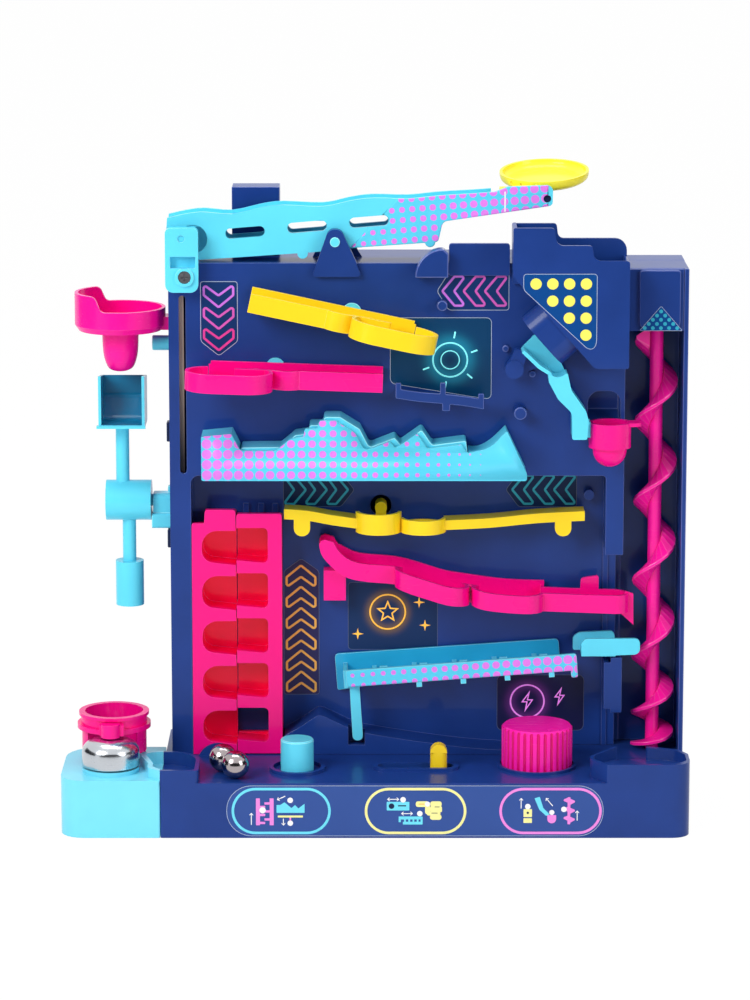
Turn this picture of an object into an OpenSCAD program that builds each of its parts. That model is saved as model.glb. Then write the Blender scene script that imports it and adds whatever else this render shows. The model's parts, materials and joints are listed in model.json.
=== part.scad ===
// Desk-top marble run with an upright play panel.
// Frame: X to the right, Y away from the player, Z up. The origin lies on the
// table, in the plane of the panel's front face and midway along the base.

/* [Base] */
// Left end of the dark base, at the seam with the bell stand
base_left = -106.4; // [-112:0.2:-104]
// Right end of the base
base_right = 156.4; // [156.4:0.2:162]
// Front edge of the base
base_front = -54; // [-62:0.5:-52]
// Back face of the base and of the housing
base_back = 50; // [48:0.5:60]
// Height of the deck
deck_z = 28; // [28:0.2:29]
// Wall thickness of the moulded shells
wall = 2.4; // [2:0.1:2.8]
// Top of the finish tray's rim
tray_rim_z = 34.5; // [31:0.5:37]
// Top of the raised funnel at the foot of the screw
funnel_z = 37.4; // [34:0.2:40]

/* [Panel and housing] */
// Left face of the housing
house_left = -103; // [-103.8:0.1:-102]
// Right edge of the front panel
panel_right = 125; // [124:0.2:126]
// Top of the front panel
panel_top = 280.2; // [278:0.1:280.3]
// Thickness of the front panel
panel_t = 2.5; // [2:0.1:2.6]
// Front face of the back wall of the recess
recess_y = 19; // [19:0.1:20]
// Top of the recess
recess_top = 172.5; // [170:0.5:173]
// Left side of the recess
recess_left = -92.5; // [-94:0.1:-92.5]
// Right side of the recess
recess_right = 116; // [115:0.2:117]

/* [Lift screw and its drive] */
// Screw axis, sideways
screw_x = 141.6; // [141:0.1:142.2]
// Screw axis, in depth
screw_y = 14; // [13:0.2:15]
// Outer radius of the flight
flight_r = 11; // [9:0.2:12]
// Radius of the screw's core
core_r = 3.4; // [3.3:0.1:3.8]
// Gear module of the drive
gear_m = 1.5; // [1.5:0.01:1.52]
// Teeth of the gear under the knob
knob_teeth = 30; // [30:1:31]
// Teeth of the idler gear
idler_teeth = 27; // [27:1:28]
// Teeth of the gear under the screw
screw_teeth = 11; // [10:1:11]
// Face width of the gears
gear_w = 5; // [4:0.5:6]

/* [Controls] */
// Knob axis, sideways
knob_x = 81.4; // [81:0.1:82]
// Knob axis, in depth
knob_y = -20.5; // [-21:0.1:-20]
// Radius of the knob
knob_r = 17.75; // [16:0.25:18]
// Top of the knob
knob_top = 49.4; // [44:0.2:54]
// Flutes round the knob
knob_flutes = 32; // [16:2:36]
// Push button axis, sideways
button_x = -39; // [-40:0.2:-38]
// Push button axis, in depth
button_y = -28; // [-29:0.2:-27]
// Radius of the push button
button_r = 8.3; // [7.5:0.1:8.5]
// Top of the push button
button_top = 44; // [38:0.5:46]
// Stroke of the push button
button_stroke = 5.5; // [4:0.1:5.5]
// Middle of the slider's thumb piece at rest
slider_x = 31.9; // [31:0.1:32.2]
// Middle of the slider slot, in depth
slider_y = -26; // [-27:0.2:-25]
// Travel of the slider
slider_travel = 25; // [20:0.5:25]

/* [Upper tracks and hill] */
// Pivot of the yellow track, sideways
yellow_x = -11.5; // [-12:0.1:-11]
// Pivot of the yellow track, height
yellow_z = 255.7; // [255:0.1:256.4]
// Rest slope of the yellow track in degrees
yellow_tilt = 12; // [10:0.5:14]
// Pivot of the pink track, sideways
pink_x = -49.7; // [-50:0.1:-49]
// Pivot of the pink track, height
pink_z = 228; // [227.4:0.1:228.6]
// Rest slope of the pink track in degrees
pink_tilt = 2; // [1:0.5:4]
// Front face of the hill
hill_y = -22; // [-24:0.5:-20]

/* [Ladder] */
// Pockets in each column
ladder_steps = 5; // [4:1:5]
// Height from one pocket to the next
ladder_pitch = 23.3; // [22:0.1:23.3]
// Middle of the topmost fixed pocket
ladder_top_pocket = 135; // [134:0.5:135]
// Height of a pocket
pocket_h = 16.6; // [15:0.2:17.4]

/* [Beam] */
// Beam pivot, sideways
beam_x = -19.9; // [-21:0.1:-19]
// Beam pivot, height
beam_z = 291.1; // [290.6:0.1:291.6]
// Front face of the beam
beam_y = 3; // [3:0.1:4]
// Width of the beam's channel over both walls
beam_w = 18; // [17:0.5:20]
// Radius of the catch dish
dish_r = 22.4; // [20:0.2:24]

/* [Swing arm] */
// Arm pivot, sideways
arm_x = 69.4; // [69:0.1:70]
// Arm pivot, height
arm_z = 228; // [227.5:0.1:228.5]
// Middle of the arm's cup, sideways
arm_cup_x = 116.9; // [116:0.1:117.5]
// Outer radius of the arm's cup
arm_cup_r = 10.5; // [9.8:0.1:10.8]

/* [Bell side] */
// Bell axis, sideways
bell_x = -132; // [-133:0.2:-131]
// Bell axis, in depth
bell_y = -34; // [-35:0.2:-33]
// Outer radius of the bell
bell_r = 14.4; // [13:0.1:14.6]
// Height of the pendulum's pivot
pendulum_z = 157; // [155:0.5:158]
// Depth of the pendulum and of the cup above it
pendulum_y = 16; // [15:0.5:18]
// Radius of a steel ball
ball_r = 7; // [6:0.1:7]

/* [Hidden] */
$fn = 64;
navy = [0.09, 0.11, 0.30];
cyan = [0.29, 0.79, 0.90];
pink = [0.96, 0.04, 0.45];
yellow = [0.98, 0.88, 0.10];
grey = [0.62, 0.64, 0.68];
steel = [0.78, 0.79, 0.80];

// Gap between mouldings that stand against each other
seat = 0.15;
// Radial play of a journal in its bearing
play = 0.05;
// Height of the lowest face of the gears
gear_z = 10;
// Pressure angle of the gear teeth
pressure = 20;
// Thickness taken off every tooth for backlash
tooth_thin = 0.3;
// Depth levels of the moving parts behind the panel
yoke_y = 22.6;
crank_y = 27;
link_y = 30.4;
lever_y = 34;
// Height of the link bar that joins lever and cranks
link_z = 195;
// Pivot of the transfer lever
lever_x = slider_x - slider_travel / 2 + 4.1;
lever_z = 150;
// Height of the slider's drive pin
drive_pin_z = 16;
// Drive pin at rest, sideways
drive_pin_x = lever_x + slider_travel / 2;
// Lean of the transfer lever at rest
lever_lean = atan((slider_travel / 2) / (lever_z - drive_pin_z));
// Pivot of the button's rocker
rocker_y = -16;
rocker_z = 12;
rocker_pin_r = 2;
// Ears of the base cover that carry the rocker
rocker_ears = [-67, -26.5];
// Journal radii
knob_shaft_r = 4;
screw_pin_r = 3;
arm_axle_r = 3;
track_axle_r = 3;
pendulum_pin_r = 3;
beam_pin_r = 2.5;
// Peg of the gate bar, through the wall behind it
gate_peg_x = 3;
gate_peg_z = 153.6;
// Columns and rows of the screws in the back wall
screw_places = [[-92, 20, 145], [44, 268]];

// Gear centre distances, and the idler axis found from the two circles
knob_pitch_r = knob_teeth * gear_m / 2;
idler_pitch_r = idler_teeth * gear_m / 2;
screw_pitch_r = screw_teeth * gear_m / 2;
axes_dx = screw_x - knob_x;
axes_dy = screw_y - knob_y;
axes_d = sqrt(axes_dx * axes_dx + axes_dy * axes_dy);
axes_angle = atan2(axes_dy, axes_dx);
arm_a = knob_pitch_r + idler_pitch_r + 0.05;
arm_b = idler_pitch_r + screw_pitch_r + 0.05;
idler_turn = acos((arm_a * arm_a + axes_d * axes_d - arm_b * arm_b) / (2 * arm_a * axes_d));
idler_angle = axes_angle + idler_turn;
idler_x = knob_x + arm_a * cos(idler_angle);
idler_y = knob_y + arm_a * sin(idler_angle);
screw_angle = atan2(screw_y - idler_y, screw_x - idler_x);
// Rest turns that put each gear's gaps on its neighbour's teeth
idler_phase = idler_angle + 180 - (0.5 - idler_angle * knob_teeth / 360) * 360 / idler_teeth;
idler_share = (screw_angle - idler_phase) * idler_teeth / 360;
screw_phase = screw_angle + 180 - (0.5 - idler_share) * 360 / screw_teeth;

// Prism with its outline in the X-Z plane, from depth y0 to depth y1
module slab(y0, y1) {
    translate([0, y1, 0])
        rotate([90, 0, 0])
            linear_extrude(y1 - y0)
                children();
}

// Prism with its outline in the X-Y plane, from height z0 to height z1
module layer(z0, z1) {
    translate([0, 0, z0])
        linear_extrude(z1 - z0)
            children();
}

// Prism with its outline in the Y-Z plane, from x0 to x1
module rib(x0, x1) {
    translate([x0, 0, 0])
        rotate([90, 0, 90])
            linear_extrude(x1 - x0)
                children();
}

// Box by its two corners
module box(x0, x1, y0, y1, z0, z1) {
    translate([x0, y0, z0])
        cube([x1 - x0, y1 - y0, z1 - z0]);
}

// Round bars along the three axes
module bar_x(y, z, r, x0, x1) {
    translate([x0, y, z])
        rotate([0, 90, 0])
            cylinder(r = r, h = x1 - x0);
}

module bar_y(x, z, r, y0, y1) {
    translate([x, y1, z])
        rotate([90, 0, 0])
            cylinder(r = r, h = y1 - y0);
}

module bar_z(x, y, r, z0, z1) {
    translate([x, y, z0])
        cylinder(r = r, h = z1 - z0);
}

// Long hole outline between x0 and x1, round at both ends
module oblong(x0, x1, y, r) {
    translate([x0 + r, y - r])
        square([x1 - x0 - 2 * r, 2 * r]);
    for (x = [x0 + r, x1 - r])
        translate([x, y])
            circle(r);
}

function unit(v) = v / norm(v);
function flip(list) = [for (i = [len(list) - 1:-1:0]) list[i]];
function shift(list, by) = [for (p = list) p + by];
function at(p) = [p[0], p[1]];

// Points of one rounded corner p between its neighbours a and b
function corner(a, p, b, r, n) =
    r == 0 ? [p] :
    let (u = unit(a - p), v = unit(b - p), half = acos(u * v) / 2,
         c = p + unit(u + v) * r / sin(half),
         s = p + u * r / tan(half) - c, e = p + v * r / tan(half) - c,
         a0 = atan2(s[1], s[0]), raw = atan2(e[1], e[0]) - a0,
         turn = raw > 180 ? raw - 360 : (raw < -180 ? raw + 360 : raw))
    [for (i = [0:n]) c + r * [cos(a0 + turn * i / n), sin(a0 + turn * i / n)]];

// Closed outline from points [x, y, corner radius]
function fillet(pts, n = 6) =
    [for (i = [0:len(pts) - 1])
        each corner(at(pts[(i + len(pts) - 1) % len(pts)]), at(pts[i]),
                    at(pts[(i + 1) % len(pts)]), pts[i][2], n)];

// Smooth curve through the given points
function curve(p, n = 5) =
    concat([for (i = [0:len(p) - 2])
        let (a = p[max(i - 1, 0)], b = p[i], c = p[i + 1], d = p[min(i + 2, len(p) - 1)])
        for (k = [0:n - 1])
            let (t = k / n)
            (2 * b + (c - a) * t + (2 * a - 5 * b + 4 * c - d) * t * t
                + (3 * b - a - 3 * c + d) * t * t * t) / 2],
        [p[len(p) - 1]]);

// Involute angle at radius r over base radius rb
function inv(rb, r) = tan(acos(rb / r)) * 180 / PI - acos(rb / r);

// Outline of a spur gear with one tooth centred on angle 0
function gear_outline(teeth, steps = 4) =
    let (rp = teeth * gear_m / 2, rb = rp * cos(pressure), ra = rp + 0.95 * gear_m,
         rf = rp - 1.25 * gear_m, rs = max(rb, rf),
         half = 90 / teeth - tooth_thin / 2 / rp * 180 / PI + inv(rb, rp))
    [for (t = [0:teeth - 1])
        let (mid = t * 360 / teeth)
        each concat(
            [rf * [cos(mid - half + inv(rb, rs)), sin(mid - half + inv(rb, rs))]],
            [for (i = [0:steps]) let (r = rs + (ra - rs) * i / steps, a = mid - half + inv(rb, r))
                r * [cos(a), sin(a)]],
            [for (i = [steps:-1:0]) let (r = rs + (ra - rs) * i / steps, a = mid + half - inv(rb, r))
                r * [cos(a), sin(a)]],
            [rf * [cos(mid + half - inv(rb, rs)), sin(mid + half - inv(rb, rs))]])];

// Ball channel: walls follow the first outline less the second, between the
// curves low and high in the X-Z plane, with a floor of the given thickness
module channel(low, high, floor_t, y0, y1) {
    intersection() {
        slab(y0, y1)
            polygon(concat(high, flip(low)));
        difference() {
            layer(0, 400)
                children(0);
            layer(-1, 401)
                children(1);
        }
    }
    intersection() {
        slab(y0, y1)
            polygon(concat(shift(low, [0, floor_t]), flip(low)));
        layer(0, 400)
            children(0);
    }
}

// Base

module base_plan(inset) {
    polygon(fillet([[base_left + inset, base_front + inset, 1],
        [base_right - inset, base_front + inset, 9 - inset],
        [base_right - inset, base_back - inset, 4 - inset / 2],
        [base_left + inset, base_back - inset, 1]]));
}

module tray_plan(inset, left) {
    polygon(fillet([[left, base_front + inset, 0], [-87.5 - inset, base_front + inset, 2],
        [-87.5 - inset, -17 - inset, 17 - inset], [left, -17 - inset, 0]]));
}

module base_tub() {
    color(navy)
    difference() {
        union() {
            layer(0, deck_z)
                base_plan(0);
            layer(deck_z - 1, tray_rim_z)
                tray_plan(0, base_left);
            layer(deck_z - 1, funnel_z)
                polygon(fillet([[115, base_front, 1], [106.6, -42, 8], [107.6, -36.5, 4], [120.4, -19, 1],
                    [137.8, -19, 1], [152, -24.6, 5], [base_right, -33, 3], [base_right, base_front, 9]]));
            bar_z(button_x, button_y, 14, deck_z - 1, deck_z + 1.8);
            bar_z(knob_x, knob_y, 20, deck_z - 1, deck_z + 1.5);
            layer(deck_z - 1, deck_z + 1.5)
                oblong(slider_x - slider_travel - 8, slider_x + 10, slider_y, 6.5);
            // Low arch in front of the ladder's foot
            intersection() {
                bar_y(-79.8, 23.8, 10.5, -2, -0.5);
                box(-92, -68, -5, 5, deck_z - 1, deck_z + 10);
            }
        }
        // Hollow underside
        layer(-1, deck_z - wall)
            base_plan(wall);
        // Finish tray, open towards the bell stand
        layer(deck_z, tray_rim_z + 1)
            tray_plan(2, base_left - 1);
        // Sloping funnel at the foot of the screw
        intersection() {
            layer(deck_z + 1, funnel_z + 10)
                polygon(fillet([[116, -52.4, 5], [108.6, -42.4, 6], [109.4, -36.6, 3], [121.6, -20, 0],
                    [121.6, -18, 0], [136.4, -18, 0], [136.4, -21.4, 1], [150.8, -26.6, 5],
                    [base_right - 1.6, -34, 4], [base_right - 1.6, -46, 6], [148, -52.4, 5]]));
            rib(100, 170)
                polygon([[-53, 35.4], [-17, 30.6], [-17, 60], [-53, 60]]);
        }
        // Control openings
        bar_z(button_x, button_y, 12, deck_z, deck_z + 3);
        bar_z(button_x, button_y, button_r + 0.35, deck_z - 5, deck_z + 3);
        bar_z(knob_x, knob_y, knob_r + 0.7, deck_z, deck_z + 3);
        bar_z(knob_x, knob_y, knob_shaft_r + 0.5, deck_z - 5, deck_z + 3);
        layer(deck_z - 5, deck_z + 3)
            oblong(slider_x - slider_travel - 5.6, slider_x + 7.6, slider_y, 4.1);
        bar_z(screw_x, screw_y, core_r + 0.5, deck_z - 5, deck_z + 3);
        // Foot of the moving ladder, and the open shaft behind the recess
        box(-63, -53, 4.5, 13, deck_z - 5, deck_z + 3);
        box(-98, 116, 24, base_back - 4, deck_z - 5, deck_z + 3);
    }
}

module base_cover() {
    color(navy) {
        difference() {
            union() {
                layer(0, 2.2)
                    base_plan(wall + seat);
                bar_z(knob_x, knob_y, 8, 2, gear_z - 0.5);
                bar_z(screw_x, screw_y, 6.5, 2, gear_z - 0.5);
                bar_z(idler_x, idler_y, 4, 2, gear_z + gear_w + 1);
                bar_z(button_x, button_y, 2.6, 2, 9);
            }
            bar_z(knob_x, knob_y, knob_shaft_r + play, 3, 20);
            bar_z(screw_x, screw_y, screw_pin_r + play, 3, 20);
        }
        for (x = rocker_ears)
            box(x - 1.5, x + 1.5, rocker_y - 4, rocker_y + 4, 2, rocker_z + 4);
        bar_x(rocker_y, rocker_z, rocker_pin_r, rocker_ears[0], rocker_ears[1]);
    }
}

module stand_plan(inset) {
    polygon(fillet([[-156.4 + inset, base_front + inset, 12 - inset],
        [base_left - seat - inset, base_front + inset, 1],
        [base_left - seat - inset, 10 - inset, 1], [-156.4 + inset, 10 - inset, 18 - inset]]));
}

module bell_stand() {
    color(cyan)
    difference() {
        union() {
            layer(0, 29.3)
                stand_plan(0);
            bar_z(bell_x, bell_y, 14.2, 29, 31.5);
            bar_z(bell_x, bell_y, 4, 31, 44.6);
            // Guide round the way from the bell to the finish tray
            layer(29, tray_rim_z)
                polygon(fillet([[base_left - seat, base_front, 0], [base_left - seat, -17, 0],
                    [-112, -17, 5], [-119, -20, 3], [-113, -40, 8], [-113, base_front + 6, 5]]));
        }
        layer(-1, 29.3 - wall)
            stand_plan(wall);
        layer(28.4, 60)
            polygon(fillet([[base_left + 1, base_front + 2, 0], [base_left + 1, -19, 0],
                [-111, -19, 4], [-115.5, -22, 3], [-110.5, -40, 8], [-110.5, base_front + 8, 4]]));
    }
}

// Panel and housing

module front_panel() {
    fence_left = 36.7;
    fence_right = 69.5;
    fence_top = 290.3;
    color(navy)
    difference() {
        union() {
            slab(0, panel_t)
                polygon([[house_left, deck_z + seat], [house_left, panel_top],
                    [panel_right, panel_top], [panel_right, deck_z + seat]]);
            slab(-2, 0.5)
                polygon(fillet([[fence_left, panel_top - 6, 1], [fence_left, fence_top, 1.5],
                    [fence_right - 2.5, fence_top, 1.5], [fence_right - 2.5, panel_top - 6, 1]]));
        }
        // Window of the recess
        slab(-1, panel_t + 1)
            polygon(fillet([[recess_left, 20, 0], [recess_left, recess_top, 4],
                [recess_right, recess_top, 2], [recess_right, 20, 0]]));
        // Right post, open to the screw below this height
        box(recess_right - 1, panel_right + 1, -1, panel_t + 1, 20, 131.8);
        // Slit beside the left wall, and the exit port
        slab(-1, panel_t + 1)
            polygon(fillet([[-97.8, 173.6, 1.6], [-97.8, 263.8, 1.6], [-94.4, 263.8, 1.6],
                [-94.4, 173.6, 1.6]]));
        slab(-1, panel_t + 1)
            polygon(fillet([[106.5, 200, 2], [106.5, 215.7, 6], [123, 215.7, 6], [123, 200, 2]]));
        // Bearings of the two tracks and the arm, and the slot of the hill's stem
        bar_y(yellow_x, yellow_z, track_axle_r + play, -1, panel_t + 1);
        bar_y(pink_x, pink_z, track_axle_r + play, -1, panel_t + 1);
        bar_y(arm_x, arm_z, arm_axle_r + play, -1, panel_t + 1);
        box(-25, -15, -1, panel_t + 1, 177.5, 200);
    }
}

module recess_tray() {
    back = recess_y + wall;
    top = recess_top + wall;
    color(navy)
    difference() {
        union() {
            box(recess_left - wall, panel_right - wall - seat, recess_y, back, deck_z + seat, top);
            box(recess_left - wall, recess_left, panel_t + seat, recess_y, deck_z + seat, top);
            box(recess_left, recess_right + wall, panel_t + seat, recess_y, recess_top, top);
            box(recess_right, recess_right + wall, panel_t + seat, recess_y, deck_z + seat, top);
            // Rolling ledge along the foot of the recess
            slab(0.2, recess_y + 0.5)
                polygon(concat([[-46, deck_z + seat]],
                    curve([[-46, 37.6], [-38, 42.4], [-32, 46.4], [-27.8, 48.4], [-21, 45.5], [-13.7, 42],
                        [-5.6, 39.3], [22.9, 34.6], [53.4, 31], [100, deck_z + 0.8]], 4),
                    [[100, deck_z + seat]]));
            // Lower length of the right post
            box(recess_right, panel_right, 0, panel_t, 50, 78.5);
            box(recess_right, recess_right + wall, 0, panel_t + 1.5, 50, 78.5);
            // Small pegs behind the head of the moving ladder
            for (x = [-65.4, -57.8, -50.7])
                box(x - 1.4, x + 1.4, 17.3, recess_y + 0.5, 149.5, 154.7);
            // Peg at the right of the gate bar
            bar_y(108.3, 160, 2.6, 13, recess_y + 0.5);
        }
        // Ball ways through the right wall
        box(recess_right - 1, recess_right + wall + 1, 0, recess_y - 1, 20, 52);
        box(recess_right - 1, recess_right + wall + 1, 0, recess_y - 1, 76, 134);
        // Seat of the comb rail's leg
        box(-13.6, -5.2, 0, 8, 33, 60);
        // Slot of the ladder's lug and of the lower pocket, hole of the gate's peg
        box(-63, -53, recess_y - 1, back + 1, 94, 118);
        bar_y(gate_peg_x, gate_peg_z, 5.4, recess_y - 1, back + 1);
    }
}

module rear_housing() {
    front = panel_t + seat;
    column_back = 31 + seat;
    column_left = panel_right - wall;
    color(navy)
    difference() {
        union() {
            box(house_left, base_right, base_back - wall, base_back, deck_z + seat, 277.4);
            box(house_left, house_left + wall, front, base_back - 1, deck_z + seat, panel_top);
            box(house_left, panel_right, front, base_back, panel_top - wall, panel_top);
            box(base_right - wall, base_right, column_back, base_back - 1, deck_z + seat, 277.4);
            box(panel_right - 1, base_right, column_back, base_back - 1, 277.4 - wall, 277.4);
            // Pin of the transfer lever
            bar_y(lever_x, lever_z, 6, lever_y + 3.4, base_back - 1);
            bar_y(lever_x, lever_z, 3, lever_y - 1, base_back - 1);
        }
        // Counterbores of the housing screws
        for (x = screw_places[0], z = screw_places[1])
            bar_y(x, z, 4, base_back - 1.7, base_back + 1);
    }
}

module screw_column() {
    left = panel_right - wall + 0.2;
    top = 277.4;
    color(navy)
    difference() {
        union() {
            box(left, panel_right + 0.2, panel_t + seat, 31, deck_z + seat, top);
            box(base_right - wall, base_right, 0, 31, deck_z + seat, top);
            box(left, base_right, 31 - wall, 31, deck_z + seat, top);
            box(left, base_right, panel_t + seat, 31, top - wall, top);
        }
        box(left - 1, panel_right + 1, 0, 31 - wall - 1, 20, 52);
        box(left - 1, panel_right + 1, 0, 31 - wall - 1, 76, 134);
        box(left - 1, panel_right + 1, panel_t + 1, 18, 199, 219);
    }
    // Upper bearing of the screw
    color(navy)
    difference() {
        box(panel_right - 0.5, base_right - 1, panel_t + seat, 31 - 1, 251, 254);
        bar_z(screw_x, screw_y, screw_pin_r + play, 240, 260);
    }
}

module column_cap() {
    color(navy) {
        slab(0.4, panel_t)
            polygon([[panel_right + 0.4, 246], [panel_right + 0.4, 277.2],
                [base_right - wall - seat, 277.2], [base_right - wall - seat, 246]]);
        slab(-1.6, 0.6)
            polygon(fillet([[131.7, 247, 4], [131.7, 276.6, 1.5], [152, 276.6, 1.5], [152, 247, 4]]));
    }
}

module exit_chute() {
    right = panel_right - wall;
    color(navy) {
        rib(105, right)
            polygon([[panel_t + seat, 199.7], [18, 203.6], [18, 201.2], [panel_t + seat, 197.3]]);
        box(102.8, 105.2, panel_t + seat, 20, 197.3, 217);
        box(105, right, 17.8, 20, 199, 217);
        box(102.8, right, panel_t + seat, 20, 216.8, 218.8);
    }
}

module hopper_face() {
    polygon(fillet([[67.9, 300.6, 1], [88, 300.6, 1.5], [89.4, 291.9, 4], [106.7, 291.9, 1.5],
        [107.8, 284.3, 4], [125.4, 284.3, 1.5], [125.4, 230.6, 1], [108.6, 230.6, 3], [67.9, 276.7, 2]]));
}

module hopper_hollow() {
    polygon(fillet([[69.9, 320, 0], [123.4, 320, 0], [123.4, 232.6, 2], [109.5, 232.6, 3],
        [69.9, 277.4, 2]]));
}

module spout(r) {
    // Oblong tube whose mouth looks down to the left
    translate([82.8, -11.2, 243])
        rotate([0, 48.5, 0])
            linear_extrude(26)
                union() {
                    square([10.8, 2 * r], center = true);
                    for (x = [-5.4, 5.4])
                        translate([x, 0])
                            circle(r);
                }
}

module hopper() {
    front = -22;
    rear = -seat;
    color(navy)
    difference() {
        union() {
            difference() {
                slab(front, rear)
                    hopper_face();
                slab(front + 2, rear + 1)
                    hopper_hollow();
            }
            // Rear wall above the panel's top edge
            slab(rear - 2, rear)
                polygon(fillet([[68.2, 270, 1], [68.2, 300.4, 1.5], [90, 300.4, 1.5], [91, 293, 3],
                    [125, 293, 6], [125, 270, 1]]));
            difference() {
                spout(9.8);
                slab(front - 5, rear + 5)
                    polygon([[60, 287.1], [120, 219.3], [150, 219.3], [150, 320], [60, 320]]);
            }
        }
        difference() {
            spout(7.8);
            slab(front - 5, rear + 5)
                polygon([[60, 290.9], [120, 223], [150, 223], [150, 320], [60, 320]]);
        }
    }
}

module rear_tower() {
    color(navy)
    difference() {
        box(-72, -48, 27, 43, panel_top + seat, 315);
        box(-70, -50, 29, 41, panel_top - 1, 312.6);
    }
}

module beam_bracket() {
    apex = [[-31.3, 273.7, 1.5], [beam_x - 3, 297.4, 4], [beam_x + 3, 297.4, 4], [-6.5, 273.7, 1.5]];
    color(navy)
    difference() {
        union() {
            slab(-3, -seat)
                polygon(fillet(apex));
            slab(-3, 2.4)
                polygon(fillet([[-29, panel_top + seat, 0], [beam_x - 3, 297.4, 4],
                    [beam_x + 3, 297.4, 4], [-9, panel_top + seat, 0]]));
            slab(beam_y + beam_w + 0.6, beam_y + beam_w + 3.6)
                polygon(fillet([[-31.3, panel_top + seat, 0], [beam_x - 3, 297.4, 4],
                    [beam_x + 3, 297.4, 4], [-6.5, panel_top + seat, 0]]));
        }
        bar_y(beam_x, beam_z, beam_pin_r + play, -10, 40);
    }
}

module beam_stop() {
    color(navy)
    slab(-9, -seat)
        polygon(concat([[36.4, 274], [36.4, 286]],
            [for (a = [90:10:180]) [33.8, 274] + [14 * cos(a), 14.4 * sin(a)]]));
}

module end_block() {
    color(cyan)
    difference() {
        union() {
            slab(-7.4, -seat)
                polygon(fillet([[-104, 266.4, 4], [-104, 298.5, 2.5], [-87.6, 298.5, 2.5],
                    [-87.6, 266.4, 4]]));
            bar_y(-94.4, 274.2, 4.6, -8.8, -1);
        }
        box(-101.6, -89, -9, -3, 278.6, 284.4);
        bar_y(-96, 293.3, 1.8, -9, -6.4);
        bar_y(-94.4, 274.2, 3.2, -10, -6.6);
        // The upper half stands clear of the beam behind it
        box(-110, -80, -1.2, 1, panel_top - 1, 300);
    }
}

module housing_screws() {
    color(steel) {
        for (x = screw_places[0], z = screw_places[1])
            translate([x, base_back - 1.55, z])
                rotate([-90, 0, 0])
                    screw_cap();
        translate([-94.4, -6.75, 274.2])
            rotate([90, 0, 0])
                screw_cap();
    }
}

module screw_cap() {
    difference() {
        cylinder(r = 3, h = 1.5);
        for (a = [0, 90])
            rotate([0, 0, a])
                translate([-1.9, -0.4, 0.5])
                    cube([3.8, 0.8, 2]);
    }
}

module track_shelf() {
    low = curve([[10.2, 214.4], [22, 212.6], [34, 211.6], [45, 210.4], [54.1, 208.8]], 4);
    color(navy) {
        slab(-14, -seat)
            polygon(concat(shift(low, [0, 2.2]), flip(low)));
        slab(-14, -12.2)
            polygon(concat(shift(low, [0, 5]), flip(low)));
        for (p = [[11.6, 215, 222.2], [33.7, 212.4, 222.2], [52.7, 209.8, 216.7]])
            box(p[0] - 1.4, p[0] + 1.4, -14, -11.4, p[1], p[2]);
        box(33.4, 37.3, -14, -11, 208, 213);
    }
}

module deflector_pegs() {
    color(navy) {
        bar_y(33.4, 259.6, 2.7, -6, -seat);
        bar_y(72.5, 205.6, 3.3, -8, -seat);
        for (p = [[65.2, 237.4], [78.6, 224.6]])
            bar_y(p[0], p[1], 1.8, -2, -seat);
    }
}

// Hill

hill_top = [[-86.2, 196.6, 2], [-71.2, 198, 1.5], [-66.9, 189.4, 3], [-49.1, 189.4, 3], [-42, 195.4, 2.5],
    [-35.4, 196.4, 1], [-34.8, 200.4, 1], [-28.4, 200.5, 1], [-27.6, 204.6, 1.5], [-19.6, 204.6, 2],
    [-9.9, 198.5, 5], [-5.2, 189.2, 3], [7.4, 194.2, 1], [10.2, 190.6, 1.2], [20.8, 198.2, 1.2],
    [26, 190.4, 2], [42.8, 192.6, 1], [45.6, 188, 2], [57, 190.6, 14], [65.4, 199.6, 0.8]];

module hill_front() {
    rear = -seat;
    color(cyan) {
        slab(hill_y, hill_y + 3)
            polygon(fillet(concat(hill_top, [[75.4, 177.6, 2], [75.4, 174.2, 1], [-86.2, 174.2, 1]]), 4));
        slab(hill_y + 2, rear)
            polygon([[-86.2, 174.2], [-86.2, 196], [-71.2, 197.4], [-67.4, 189.6], [-67.4, 174.2]]);
        slab(hill_y + 2, rear)
            polygon(concat([[46.4, 174.2]],
                curve([[46.4, 188], [52, 188.2], [58, 191.6], [65.2, 198.6]], 4),
                [[75.2, 177.6], [75.2, 174.2]]));
        box(-86.2, 75.2, hill_y + 2, rear, 174.2, 176);
    }
}

module hill_mover() {
    steps = [for (p = hill_top) if (p[0] > -66.9 && p[0] < 45) [p[0] + 2.4, p[1] + 1.2, min(p[2], 2)]];
    color(cyan) {
        slab(hill_y + 3.5, -0.8)
            polygon(fillet(concat([[-66.6, 177.2, 0], [-66.6, 190.4, 1]], steps,
                [[45.8, 189.4, 0.5], [45.8, 177.2, 0]]), 4));
        box(-24, -16, -2, yoke_y - seat, 179, 187);
    }
}

// Ladder

module ladder_fixed() {
    right = -70.2;
    color(pink)
    difference() {
        slab(0, recess_y - 0.4)
            polygon(fillet([[recess_left + 0.2, deck_z + seat, 0], [recess_left + 0.2, 148, 1],
                [-86, 148, 0], [-85.6, 155, 1.5], [right, 155, 1.5], [right, deck_z + seat, 0]], 4));
        // Heads that slope back
        rib(-100, right + 1)
            polygon([[2.5, 155.3], [22, 155.3], [22, 150.2]]);
        rib(-100, -86.2)
            polygon([[2.5, 148.3], [22, 148.3], [22, 143.2]]);
        for (i = [0:ladder_steps - 1]) {
            low = ladder_top_pocket - i * ladder_pitch - pocket_h / 2 - 0.3;
            high = low + pocket_h + 1.2;
            slab(-1, 15.4)
                polygon(fillet([[-87.2, low + 2, 6], [-87.2, high, 7.6], [right + 1, high, 0],
                    [right + 1, low, 0]]));
        }
    }
}

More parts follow.
